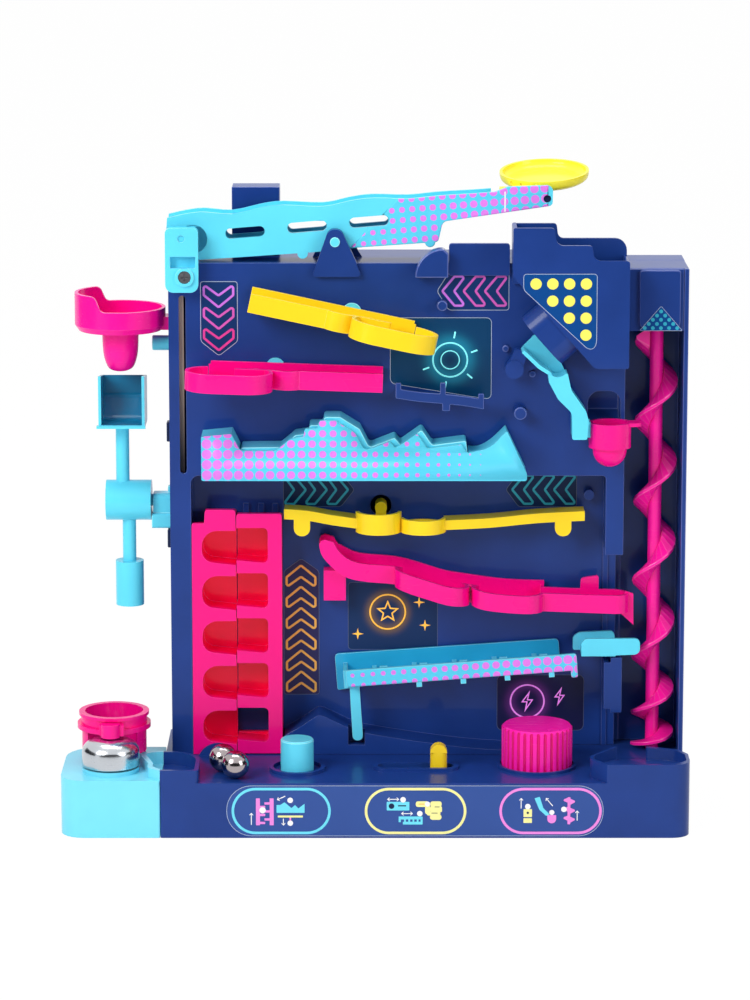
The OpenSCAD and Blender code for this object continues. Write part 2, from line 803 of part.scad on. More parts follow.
module ladder_riser() {
    left = -69.8;
    right = -47;
    color(pink) {
        difference() {
            slab(0, recess_y - 0.4)
                polygon(fillet([[left, deck_z + 0.6, 0], [left, 153, 1.5], [right, 153, 1.5],
                    [right, deck_z + 0.6, 0]], 4));
            for (i = [0:ladder_steps - 1]) {
                mid = ladder_top_pocket + 2.4 - i * ladder_pitch;
                slab(-1, 15.4)
                    polygon(fillet([[left - 1, mid - pocket_h / 2, 0], [left - 1, mid + pocket_h / 2, 0],
                        [-54, mid + pocket_h / 2, 2.5], [-54, mid - pocket_h / 2 - 1.6, 2.5]]));
            }
            rib(left - 1, right + 1)
                polygon([[2.5, 153.3], [22, 153.3], [22, 148.2]]);
            // Clear of the pegs on the wall behind when the ladder rises
            box(left - 1, right + 1, 16.8, recess_y, 137.6, 160);
            // The lowest pocket is open to the back
            box(left - 1, -54, 10, 20, 36, 50);
        }
        box(-62, -54, 6, 12, rocker_z + 2, deck_z + 2);
        box(-62, -54, 16, yoke_y - seat, 96, 104);
    }
}

module lift_yoke() {
    color(grey)
    slab(yoke_y, yoke_y + 3)
        polygon(fillet([[-65, 92, 2], [-65, 110, 4], [-27, 178, 4], [-27, 190, 2], [-13, 190, 2],
            [-13, 172, 4], [-51, 104, 4], [-51, 92, 2]], 4));
}

// Lower tracks

module lower_pink_track() {
    low = curve([[-28.1, 136], [-26.4, 130.4], [-19.8, 123.2], [-13.6, 119.4], [-4, 117.4], [11, 116],
        [24.6, 112], [35.6, 108.6], [46.4, 107], [60, 105.2], [71, 104.2], [86, 103.6], [106, 102.8],
        [128.4, 102]], 3);
    high = concat([[-27.5, 138.3], [-25.4, 139.2]], curve([[-21, 137.9], [-16.6, 131.4], [-8, 127],
        [11, 125.2], [24.6, 121.4], [35.6, 118], [46.4, 116.2], [60, 114.2], [71, 113.2], [86, 112.8],
        [106, 112], [128.4, 111.4]], 3));
    color(pink) {
        channel(low, high, 2, -20, recess_y) {
            union() {
                translate([-29, 2])
                    square([113.6, 15.4]);
                oblong(10, 47.6, -1.4, 10.4);
                oblong(48.6, 85, -1.4, 10.4);
                translate([80, -4])
                    square([36, 16]);
                oblong(90, 128.4, 4, 8);
            }
            union() {
                translate([-40, 4])
                    square([124, 11.4]);
                oblong(12, 45.6, -1.4, 8.4);
                oblong(50.6, 83, -1.4, 8.4);
                translate([76, -2])
                    square([40, 12]);
                oblong(90, 126.4, 4, 6);
            }
        }
        // Higher rear wall, and the stubs that hold it to the recess
        slab(15.4, 17.4)
            polygon(concat(curve([[-24, 136.4], [-17, 133.4], [-8, 129.4], [11, 127.6], [24.6, 123.8],
                [35.6, 120.4], [46.4, 118.6], [60, 116.6], [71, 115.6], [86, 115.2]], 3),
                [[86, 104], [40, 108], [-20, 123]]));
        box(-26, -14.8, 10, recess_y - seat, 106, 121.5);
        box(78, 84, 15.6, recess_y - seat, 105, 111);
        // Fin and tab at the right end
        slab(3, 5)
            polygon([[126.6, 112.4], [130.6, 111], [130.8, 95], [122, 103]]);
        slab(10, 12)
            polygon(fillet([[104, 110, 0], [104.4, 117.6, 2], [113.4, 119, 1], [113.4, 110, 0]]));
    }
}

// Comb rail

comb_slope = 4.35;
comb_x = -13.6;
comb_z = 64;

module on_comb() {
    translate([comb_x, 0, comb_z])
        rotate([0, -comb_slope, 0])
            children();
}

module comb_rail() {
    color(cyan) {
        on_comb() {
            // Rear plate, floor rungs and the fixed gates
            slab(16.4, 18.4)
                polygon(fillet([[-6, -6, 1], [-6, 13, 2], [108.4, 12.4, 2], [108.4, 2, 1]], 4));
            for (i = [0:5])
                box(2 + 20.4 * i, 7 + 20.4 * i, -0.5, 17, 0, 2);
            box(0, 113, 10, 17, 0, 2);
            for (i = [0:4])
                box(16.4 + 20.4 * i, 20.4 + 20.4 * i, 9, 11.4, 0, 6.4);
            box(-2, 0, -0.5, 17, -1, 8);
        }
        // Leg that stands in the ledge
        slab(1.4, 6.4)
            polygon(fillet([[-11.3, 35, 2.4], [-13, 65.5, 0], [-8.1, 66, 0], [-6, 35, 2.4]]));
        box(-12, 96, 18, recess_y - seat, 72, 74);
    }
}

module comb_shuttle() {
    color(cyan)
    on_comb() {
        slab(-3.4, -1)
            polygon(fillet([[-0.6, 0, 1.5], [-0.6, 8.6, 1], [116.4, 8.6, 1.5], [116.4, -3.6, 1],
                [113, -3.6, 1], [113, 0, 0]], 4));
        for (i = [0:4])
            box(12.6 + 20.4 * i, 15 + 20.4 * i, -2, 15, 2.5, 6);
        for (i = [0:3])
            box(34.6 + 22.4 * i, 37.4 + 22.4 * i, -3.2, -1, -2.6, 1);
        box(11, 114, -2, 1.2, 2.5, 4.5);
    }
}

module catch_tray() {
    color(cyan) {
        slab(-0.6, 1.4)
            polygon(fillet([[104.4, 79.4, 1], [104.4, 86, 1], [106.4, 88.6, 2], [134, 88.6, 2.5],
                [134, 80.4, 3]]));
        slab(13.4, 15.4)
            polygon(fillet([[100.8, 79.4, 1], [100.8, 86.4, 2.5], [104, 88.6, 2], [122, 89.4, 2.5],
                [122, 79.8, 1]]));
        rib(104.4, 121.8)
            polygon([[-0.4, 79.4], [-0.4, 81.4], [15, 81.8], [15, 79.8]]);
        box(106, 112, 15, recess_y - seat, 80, 84);
    }
}

// Gate bar

module gate_bar() {
    left = curve([[-45.8, 154.4], [-34, 153.6], [-22, 151.4], [-8.7, 149.5]], 3);
    right = curve([[34.8, 148.6], [58, 149.8], [82, 152.2], [105.6, 153.4]], 3);
    cup_r = 11.6;
    color(yellow) {
        slab(2, 17)
            polygon(concat(left, shift(flip(left), [0, -2.6])));
        slab(2, 17)
            polygon(concat(right, shift(flip(right), [0, -2.6])));
        slab(2, 3.6)
            polygon(concat(shift(left, [0, 0.5]), shift(flip(left), [0, -4.6])));
        slab(2, 3.6)
            polygon(concat(shift(right, [0, 0.5]), shift(flip(right), [0, -4.4])));
        difference() {
            union() {
                bar_z(1.8, 5.6, cup_r, 143, 153.4);
                bar_z(24.2, 5.6, cup_r, 143, 150.2);
            }
            bar_z(1.8, 5.6, cup_r - 1.8, 145, 160);
            bar_z(24.2, 5.6, cup_r - 1.8, 145, 160);
            bar_z(24.2, 5.6, 7.6, 140, 160);
            // The back walls are low
            box(-14, 40, 5, 20, 147, 160);
        }
        // Tongues, and the peg through the rear wall
        for (x = [-36.8, 94.8]) {
            top = x < 0 ? 152 : 151;
            slab(2, 5)
                polygon(fillet([[x - 4.1, top, 0], [x + 4.1, top, 0], [x + 4.1, 141, 4], [x - 4.1, 141, 4]]));
        }
        bar_y(gate_peg_x, gate_peg_z, 3, 12, 23);
        box(gate_peg_x - 2.6, gate_peg_x + 2.6, 12.4, 16, 143.4, gate_peg_z - 1);
    }
}

// Controls

module push_button() {
    color(cyan)
    difference() {
        union() {
            bar_z(button_x, button_y, button_r, 18.3, button_top - 0.7);
            translate([button_x, button_y, button_top - 0.7])
                cylinder(r1 = button_r, r2 = button_r - 0.6, h = 0.7);
            bar_z(button_x, button_y, 10.4, 21.5, deck_z - wall - 0.4);
            box(button_x - 8, button_x + 8, button_y - 2, button_y + 2, rocker_z + 2.5, 19);
        }
        bar_z(button_x, button_y, 5.6, 10, 26);
    }
}

module button_spring() {
    turns = 6;
    per_turn = 10;
    wire = 0.55;
    coil_r = 4.1;
    low = 2.9;
    high = 25.2;
    sides = 6;
    count = turns * per_turn;
    pitch = (high - low) / turns;
    echo(spring_gap = pitch - 2 * wire);
    rings = [for (i = [0:count])
        let (a = 360 * i / per_turn)
        for (s = [0:sides - 1])
            let (r = coil_r + wire * cos(360 * s / sides))
            [r * cos(a), r * sin(a), low + (high - low) * i / count + wire * sin(360 * s / sides)]];
    color(steel)
    translate([button_x, button_y, 0])
        polyhedron(rings, concat(
            [[for (s = [0:sides - 1]) s]],
            [[for (s = [sides - 1:-1:0]) count * sides + s]],
            [for (i = [0:count - 1], s = [0:sides - 1])
                let (a = i * sides + s, b = i * sides + (s + 1) % sides)
                [a, a + sides, b + sides, b]]));
}

module button_rocker() {
    right = -29.5;
    color(grey)
    difference() {
        union() {
            box(-64, right, rocker_y, rocker_y + 25, rocker_z - 1.5, rocker_z + 1.5);
            box(-49, right, rocker_y - 15, rocker_y, rocker_z - 1.5, rocker_z + 1.5);
            bar_x(rocker_y, rocker_z, 3.2, -64, right);
        }
        bar_x(rocker_y, rocker_z, rocker_pin_r + play, -70, -20);
        box(button_x - 5.4, button_x + 5.4, -40, rocker_y - 5, 0, 30);
    }
}

module slider_lever() {
    half = 4.2;
    color(yellow) {
        layer(24.6, 36.6)
            oblong(slider_x - half, slider_x + half, slider_y, 3);
        translate([0, 0, 36.6])
            slab(slider_y - 3, slider_y + 3)
                intersection() {
                    translate([slider_x, 0])
                        circle(half);
                    translate([slider_x - half, 0])
                        square([2 * half, half]);
                }
    }
}

module slider_carriage() {
    rear = lever_y + 3.4;
    color(grey) {
        box(slider_x - 14, slider_x + 14, slider_y - 7, slider_y + 7, 20.5, 24.5);
        box(drive_pin_x - 3, drive_pin_x + 3, slider_y, lever_y - 2, 18.5, 21.5);
        box(drive_pin_x - 3, drive_pin_x + 3, lever_y - 4.4, lever_y - 1.2, drive_pin_z - 3, 21.5);
        bar_y(drive_pin_x, drive_pin_z, 2, lever_y - 2, rear);
    }
}

module transfer_lever() {
    length = lever_z - drive_pin_z;
    top = link_z + 8;
    color(grey)
    difference() {
        union() {
            translate([lever_x, 0, lever_z])
                rotate([0, -lever_lean, 0])
                    slab(lever_y, lever_y + 3)
                        polygon(fillet([[-5, -length - 7, 3], [-5, top - lever_z, 4],
                            [5, top - lever_z, 4], [5, -length - 7, 3]]));
            bar_y(lever_x, lever_z, 7, lever_y, lever_y + 3);
        }
        bar_y(lever_x, lever_z, 3 + play, lever_y - 1, lever_y + 4);
        // Open slot for the slider's drive pin
        slab(lever_y - 1, lever_y + 4)
            polygon([[drive_pin_x - 2.5, 0], [drive_pin_x - 2.5, drive_pin_z + 5],
                [drive_pin_x + 2.5, drive_pin_z + 5], [drive_pin_x + 2.5, 0]]);
    }
    // Pin that drives the link bar
    color(grey)
    bar_y(lever_x - (link_z - lever_z) * tan(lever_lean), link_z, 1.8, link_y - 1, lever_y + 0.5);
}

module link_bar() {
    pins = [pink_x, yellow_x, lever_x - (link_z - lever_z) * tan(lever_lean)];
    color(grey)
    difference() {
        slab(link_y, link_y + 2.4)
            polygon(fillet([[pins[0] - 6, link_z - 6, 3], [pins[0] - 6, link_z + 6, 3],
                [pins[2] + 6, link_z + 6, 3], [pins[2] + 6, link_z - 6, 3]]));
        for (x = pins)
            slab(link_y - 1, link_y + 4)
                translate([x - 2.2, link_z - 4])
                    square([4.4, 8]);
    }
}

// Track cranks: hub, axle through the panel and arm down to the link bar
module crank(x, z) {
    bar_y(x, z, 4.8, -1.9, -0.35);
    bar_y(x, z, track_axle_r, -0.4, crank_y + 2);
    slab(crank_y, crank_y + 2.4)
        polygon(fillet([[x - 3.5, link_z - 4, 3], [x - 5, z + 5, 4], [x + 5, z + 5, 4],
            [x + 3.5, link_z - 4, 3]]));
    bar_y(x, link_z, 1.8, crank_y + 2, link_y + 3);
}

module yellow_crank() {
    color(cyan)
        crank(yellow_x, yellow_z);
}

module pink_crank() {
    color(cyan)
        crank(pink_x, pink_z);
}

// Slalom track in its own frame, pocket to the right, axle at the origin
module slalom_plan(straight, pocket, inset) {
    rear = -2.1;
    translate([-straight + inset, -17 + inset])
        square([straight + 8 - inset, 17 + rear - 2 * inset]);
    translate([-5.5, -11.1])
        circle(9 - inset);
    oblong(pocket - 43.5 + inset, pocket - inset, -23.5, 13.5 - inset);
    translate([3, -14 + inset])
        square([pocket - 14, 14 + rear - 2 * inset]);
}

module slalom_track(straight, pocket, rear_left) {
    low = -8.4;
    high = 1;
    difference() {
        layer(low, high)
            slalom_plan(straight, pocket, 0);
        layer(low + 2, high + 1)
            slalom_plan(straight, pocket, 1.8);
        // Open end of the straight
        translate([-straight - 1, -15.2, low + 2])
            cube([4, 11.3, 20]);
    }
    // Higher rear wall
    slab(-3.9, -2.1)
        polygon([[-straight, low], [-straight, rear_left], [pocket - 12, 2.6], [pocket - 12, low]]);
    // Island that the ball rolls round
    layer(low + 1, high)
        oblong(4, 20, -15, 1.6);
}

module yellow_track() {
    color(yellow)
    translate([yellow_x, 0, yellow_z])
        rotate([0, yellow_tilt, 0])
            slalom_track(51, 43.5, 2.6);
}

module pink_track() {
    color(pink)
    translate([pink_x, 0, pink_z])
        rotate([0, pink_tilt, 0])
            mirror([1, 0, 0])
                slalom_track(53.7, 44.2, 2.6);
}

// Beam

beam_top = curve([[-103.3, 302.4], [-94.4, 304.4], [-85.4, 305.4], [-71, 304.4], [-56.6, 307.6],
    [-45.7, 308.9], [-25.8, 308.2], [-12.4, 311], [-1.2, 312.4], [16.4, 312.1], [31.8, 313.6],
    [48.9, 314.6], [59.6, 315.4]], 3);

beam_eye = [-90.6, 291.8];

module beam_side() {
    slots = [[-64.6, 295.2], [-33.8, 298], [-3, 300.6]];
    slot_slope = 4.7;
    difference() {
        polygon(fillet(concat([for (p = beam_top) [p[0], p[1], 0]],
            [[66, 318, 3], [88.4, 318.8, 3], [88.2, 308.6, 2], [33.8, 300.6, 3],
            [31.4, 290.4, 2], [-6, 287.8, 0], [-31.3, 285.2, 0], [-87.9, 281.4, 4], [-99, 284, 10],
            [-104, 294, 8]]), 4));
        for (p = slots)
            translate(p)
                rotate(slot_slope)
                    oblong(-9.8, 9.8, 0, 2.6);
        translate(beam_eye)
            circle(7.2);
    }
}

module top_beam() {
    rear = beam_y + beam_w;
    short = [for (p = beam_top) if (p[0] < 58) p];
    color(cyan)
    difference() {
        union() {
            slab(beam_y, beam_y + 2.2)
                beam_side();
            intersection() {
                slab(rear - 2, rear)
                    beam_side();
                box(-110, 58, 0, 40, 270, 330);
            }
            slab(beam_y + 1, rear - 1)
                polygon(concat(shift(short, [0, -5]), flip(shift(short, [0, -7.4]))));
            bar_y(beam_x, beam_z, 4.5, beam_y, rear);
            // The round window is in the front wall only
            bar_y(beam_eye[0], beam_eye[1], 8, rear - 2, rear);
            // Half-round feet on the lower edge
            for (p = [[-36, 284.6], [27.4, 290.4]])
                slab(beam_y, beam_y + 3)
                    translate(p)
                        circle(2.6);
            box(-80, -26, beam_y + 1, beam_y + 4, 288.4, 290);
        }
        bar_y(beam_x, beam_z, beam_pin_r + play, 0, 40);
        // Blind hole at the right end
        bar_y(85.6, 311.9, 1.9, beam_y - 1, beam_y + 1.4);
    }
}

module beam_pin() {
    color(cyan)
    bar_y(beam_x, beam_z, beam_pin_r, -3.6, beam_y + beam_w + 4.4);
}

module catch_dish() {
    outer = curve([[15.5, 0], [19, 0.7], [dish_r - 0.8, 2.4], [dish_r, 4.6], [dish_r, 6.4]], 4);
    inner = curve([[15, 2.3], [18.4, 2.9], [dish_r - 2, 4.4], [dish_r - 1.4, 6.4]], 4);
    color(yellow) {
        translate([85.2, 29.5, 317])
            rotate([8.5, -2, 0])
                difference() {
                    rotate_extrude()
                        polygon(concat([[0, 0]], outer, flip(inner), [[0, 2.3]]));
                    // Small holes under the rim
                    for (a = [220, 236, 257])
                        translate([0, 0, 4.6])
                            rotate([0, 90, a])
                                translate([0, 0, dish_r - 4])
                                    cylinder(r = 0.7, h = 8);
                }
        // Foot that reaches the beam's arm
        box(62, 84, beam_y + 2.2 + seat, 16, 309, 316.6);
    }
}

// Swing arm

module swing_arm() {
    color(cyan)
    difference() {
        union() {
            // Back wall and floor of the chute
            slab(-6, -4)
                polygon(fillet([[72.6, 238.2, 0.5], [79.4, 245.3, 0.8], [92.6, 231.2, 4], [97, 221.6, 3],
                    [88.4, 219.6, 1], [85.6, 227.3, 2], [80.8, 230.3, 4]]));
            slab(-19.6, -5)
                polygon([[72.6, 238.2], [80.8, 230.3], [85.6, 227.3], [88.6, 221.4], [90.4, 222.6],
                    [86.8, 228.6], [82, 231.7], [73.8, 239.4]]);
            // Curved drop to the cup
            slab(-20, -7)
                polygon(fillet([[85.5, 228.4, 0.6], [90.4, 225, 5], [95.2, 228.4, 0.6], [97.2, 219.4, 6],
                    [104.6, 208.8, 5], [106, 203.8, 3], [105.2, 194.6, 1], [97.8, 194.6, 1],
                    [97.6, 208, 5], [90.6, 215, 6], [86, 223.6, 3]]));
            slab(-16, -8)
                polygon([[100, 203], [112, 203], [112, 195], [100, 195]]);
        }
        bar_z(arm_cup_x, -12, arm_cup_r + seat, 150, 260);
    }
}

module arm_cup() {
    color(pink)
    difference() {
        union() {
            bar_z(arm_cup_x, -12, arm_cup_r, 189.6, 202.2);
            bar_z(arm_cup_x, -12, 8.4, 187, 190);
            translate([arm_cup_x, -12, 188])
                sphere(8.4);
            layer(200.4, 202.2)
                polygon(fillet([[arm_cup_x, -18, 0], [132.4, -16, 3], [132.4, -8, 3], [arm_cup_x, -6, 0]]));
        }
        bar_z(arm_cup_x, -12, arm_cup_r - 1.8, 190.8, 210);
        translate([arm_cup_x, -12, 190.8])
            sphere(7.2);
    }
}

module arm_hub() {
    color(navy) {
        bar_y(arm_x, arm_z, 4.6, -9, -2.8);
        bar_y(arm_x, arm_z, arm_axle_r, -3, 9);
        slab(-8.6, -2.8)
            polygon(fillet([[arm_x - 3.6, arm_z + 1, 0], [69.6, 238.4, 2], [72, 238.1, 0],
                [75.4, 234.7, 0], [arm_x + 3.6, arm_z - 1, 0]]));
        slab(-3.8, -2.4)
            polygon(fillet([[67.4, 230, 1], [76, 240.4, 2], [86, 230, 2], [75.4, 226, 1]]));
    }
}

module ball_lifter() {
    color(yellow) {
        bar_z(86, -11, 7.4, 268.6, 274);
        bar_z(86, -11, 2.4, 264.8, 269);
    }
}

// Lift screw

// Height and pitch of the flight, whose pitch grows over the first turns
flight_foot = 30.4;
first_pitch = 10;
full_pitch = 41;
growing_turns = 2.4;

function flight_pitch(t) =
    first_pitch + (full_pitch - first_pitch) * min(t, growing_turns) / growing_turns;

function rise(t) =
    let (g = min(t, growing_turns))
    flight_foot + g * (first_pitch + flight_pitch(g)) / 2 + full_pitch * (t - g);

module lift_screw() {
    per_turn = 20;
    count = 6.05 * per_turn;
    root = core_r + 0.12;
    start = 180;
    edge = 0.9;
    ribbon = [for (i = [0:count])
        let (t = i / per_turn, a = start + 360 * t, z = rise(t), web = 0.6 + 0.11 * flight_pitch(t))
        each [[root * cos(a), root * sin(a), z - web], [flight_r * cos(a), flight_r * sin(a), z - edge],
            [flight_r * cos(a), flight_r * sin(a), z + edge], [root * cos(a), root * sin(a), z + web]]];
    color(pink)
    translate([screw_x, screw_y, 0])
        polyhedron(ribbon, concat([[0, 1, 2], [0, 2, 3]],
            [for (f = [[3, 2, 1], [3, 1, 0]]) [for (s = f) count * 4 + s]],
            [for (i = [0:count - 1], s = [0:3])
                let (a = i * 4 + s, b = i * 4 + (s + 1) % 4)
                each [[a, a + 4, b + 4], [a, b + 4, b]]]));
}

module screw_core() {
    color(pink) {
        bar_z(screw_x, screw_y, core_r, gear_z + gear_w + 0.6, 247);
        bar_z(screw_x, screw_y, screw_pin_r, 3.4, 20);
        bar_z(screw_x, screw_y, screw_pin_r, 240, 256);
    }
}

module screw_gear() {
    color(grey)
    difference() {
        translate([screw_x, screw_y, gear_z])
            rotate([0, 0, screw_phase])
                linear_extrude(gear_w)
                    polygon(gear_outline(screw_teeth));
        bar_z(screw_x, screw_y, screw_pin_r + play, 0, 30);
    }
}

module idler_gear() {
    color(grey)
    difference() {
        translate([idler_x, idler_y, gear_z])
            rotate([0, 0, idler_phase])
                linear_extrude(gear_w)
                    polygon(gear_outline(idler_teeth));
        bar_z(idler_x, idler_y, 4 + play, 0, 30);
    }
}

module knob_gear() {
    color(grey)
    difference() {
        translate([knob_x, knob_y, gear_z])
            linear_extrude(gear_w)
                polygon(gear_outline(knob_teeth));
        bar_z(knob_x, knob_y, knob_shaft_r + play, 0, 30);
    }
}

module control_knob() {
    bevel = 1.2;
    flute_r = 0.9;
    flute_at = knob_r + 0.2;
    color(pink) {
        difference() {
            translate([knob_x, knob_y, 0]) {
                translate([0, 0, deck_z + 0.4])
                    cylinder(r = knob_r, h = knob_top - deck_z - 0.4 - bevel);
                translate([0, 0, knob_top - bevel])
                    cylinder(r1 = knob_r, r2 = knob_r - bevel, h = bevel);
            }
            for (i = [0:knob_flutes - 1]) {
                a = 360 * i / knob_flutes;
                bar_z(knob_x + flute_at * cos(a), knob_y + flute_at * sin(a), flute_r, 20, knob_top + 1);
            }
        }
        bar_z(knob_x, knob_y, knob_shaft_r, 3.4, deck_z + 2);
    }
}

// Bell side

module left_cup() {
    x = -128;
    r = 22.8;
    color(pink)
    difference() {
        union() {
            translate([x, pendulum_y, 244.5])
                cylinder(r1 = r - 2, r2 = r, h = 3);
            bar_z(x, pendulum_y, r, 247.4, 256);
            // Raised lip at the far side
            intersection() {
                bar_z(x, pendulum_y, r, 255, 264);
                slab(-20, 60)
                    polygon(fillet([[-160, 250, 0], [-160, 263.6, 0], [-139.4, 263.6, 3.5],
                        [-136.4, 256.4, 2.5], [-132, 255.4, 0], [-132, 250, 0]]));
            }
            box(-112, house_left - seat, pendulum_y - 6, pendulum_y + 6, 245, 251.6);
            translate([x, pendulum_y, 0])
                rotate_extrude()
                    polygon(concat([[0, 245], [0, 222.2]],
                        curve([[2.6, 222.4], [6.2, 225], [8.2, 230], [9, 236], [9.2, 245]], 4)));
        }
        bar_z(x, pendulum_y, r - 1.8, 246.4, 270);
        // Ball way down behind the nozzle's front
        translate([x, pendulum_y + 3, 220])
            cylinder(r = 7.8, h = 30);
    }
}

module cup_peg() {
    color(cyan)
    bar_x(pendulum_y, 237.6, 3.8, -112, house_left - seat);
}

module pendulum_bracket() {
    left = -112.8;
    color(cyan) {
        rib(left, house_left - seat)
            polygon(fillet([[pendulum_y - 7.4, pendulum_z - 13.4, 1.5],
                [pendulum_y + 7.4, pendulum_z - 13.4, 1.5], [pendulum_y + 7.4, pendulum_z - 5.7, 1],
                [pendulum_y - 7.4, pendulum_z - 5.7, 1]]));
        rib(left + 0.6, house_left - seat)
            polygon(fillet([[pendulum_y - 6, pendulum_z - 6.5, 0], [pendulum_y + 6, pendulum_z - 6.5, 0],
                [pendulum_y + 6, pendulum_z + 4, 3], [pendulum_y - 6, pendulum_z + 4, 3]]));
        box(-104.8, house_left - seat, pendulum_y - 2, pendulum_y + 2, pendulum_z + 3, pendulum_z + 7.4);
        bar_x(pendulum_y, pendulum_z, pendulum_pin_r, -133.6, left + 1);
    }
}

module pendulum() {
    color(cyan)
    difference() {
        union() {
            bar_x(pendulum_y, pendulum_z, 10.2, -136, -113.2);
            bar_z(-127.6, pendulum_y, 3.4, pendulum_z + 5, 197.8);
            bar_z(-124.6, pendulum_y, 3.4, 124, pendulum_z - 5);
            bar_z(-124.6, pendulum_y, 7.1, 103, 125.8);
            // Scoop, open to the top and the front
            difference() {
                union() {
                    rib(-138.8, -115.6)
                        polygon([[pendulum_y - 11.6, 195.8], [pendulum_y - 11.6, 222.4],
                            [pendulum_y + 11.6, 219.2], [pendulum_y + 11.6, 195.8]]);
                    box(-139.8, -115.2, pendulum_y - 12.8, pendulum_y - 11, 195.8, 197.2);
                }
                rib(-137.4, -117)
                    polygon(fillet([[pendulum_y - 20, 197.2, 0], [pendulum_y + 0.6, 197.8, 8],
                        [pendulum_y + 10.2, 208.8, 4], [pendulum_y + 10.2, 230, 0],
                        [pendulum_y - 20, 230, 0]]));
            }
        }
        bar_x(pendulum_y, pendulum_z, pendulum_pin_r + play, -134, -100);
        bar_z(-124.6, pendulum_y, 5.6, 105, 123.4);
    }
}

module counterweight() {
    color(steel)
    bar_z(-124.6, pendulum_y, 5.55, 105.2, 123.2);
}

module bell_ring() {
    x = -131.4;
    y = -14.6;
    color(pink)
    difference() {
        union() {
            bar_z(x, y, 16.6, 46, 55.2);
            bar_z(x, y, 18.4, 47, 49.4);
            bar_z(x, y, 17.6, 53.6, 55.2);
            difference() {
                bar_z(x, y, 16.2, 29.45, 47);
                box(x - 11.6, x + 11.6, -60, -11, 20, 46);
            }
            box(x - 6, x + 6, -35, -28, 47, 52.4);
            bar_z(bell_x, bell_y, 4.8, 46.4, 53);
        }
        bar_z(x, y, 14.6, 29, 60);
        // Clear of the bell and of the guide beside it
        bar_z(bell_x, bell_y, bell_r + 0.8, 20, 46.2);
        layer(20, tray_rim_z + 0.6)
            polygon([[-122, -10], [-122, -60], [-100, -60], [-100, -10]]);
    }
}

module bell() {
    profile = concat(curve([[bell_r, 32.4], [bell_r, 38], [bell_r - 0.6, 41.4], [bell_r - 3, 44.2],
            [bell_r - 6, 45.6]], 4),
        [[2.4, 46], [2.4, 44.8]],
        flip(curve([[bell_r - 1.2, 32.4], [bell_r - 1.2, 38], [bell_r - 1.8, 40.8], [bell_r - 3.8, 43.2],
            [bell_r - 6.6, 44.5]], 4)));
    color(steel)
    translate([bell_x, bell_y, 0])
        rotate_extrude()
            polygon(profile);
}

module steel_ball_a() {
    color(steel)
    translate([-76, -31.6, deck_z + ball_r + 0.05])
        sphere(ball_r);
}

module steel_ball_b() {
    color(steel)
    translate([-69.4, -44.4, deck_z + ball_r + 0.05])
        sphere(ball_r);
}

base_tub();
base_cover();
bell_stand();
front_panel();
recess_tray();
rear_housing();
screw_column();
column_cap();
exit_chute();
hopper();
rear_tower();
beam_bracket();
beam_stop();
end_block();
housing_screws();
track_shelf();
deflector_pegs();
hill_front();
ladder_fixed();
lower_pink_track();
comb_rail();
catch_tray();
left_cup();
cup_peg();
pendulum_bracket();
bell_ring();
bell();
push_button();
button_spring();
button_rocker();
ladder_riser();
lift_yoke();
hill_mover();
gate_bar();
slider_lever();
slider_carriage();
transfer_lever();
link_bar();
yellow_track();
yellow_crank();
pink_track();
pink_crank();
top_beam();
catch_dish();
beam_pin();
comb_shuttle();
control_knob();
knob_gear();
idler_gear();
lift_screw();
screw_core();
screw_gear();
swing_arm();
arm_cup();
arm_hub();
ball_lifter();
pendulum();
counterweight();
steel_ball_a();
steel_ball_b();
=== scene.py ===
# %% [markdown]
# # A desk-top marble run, dressed for its portrait
#
# The solids of this toy come from its construction model: a dark blue housing, and pink, yellow and
# sky-blue tracks that really move. This lesson gives them what a moulded toy has and a plain solid
# lacks: rounded edges, glossy plastic, printed stickers and polished steel. Each step first says what
# the real piece is, then how it could be made, and then why it is made in the way that follows.

# %% Load the solids
import json
import math

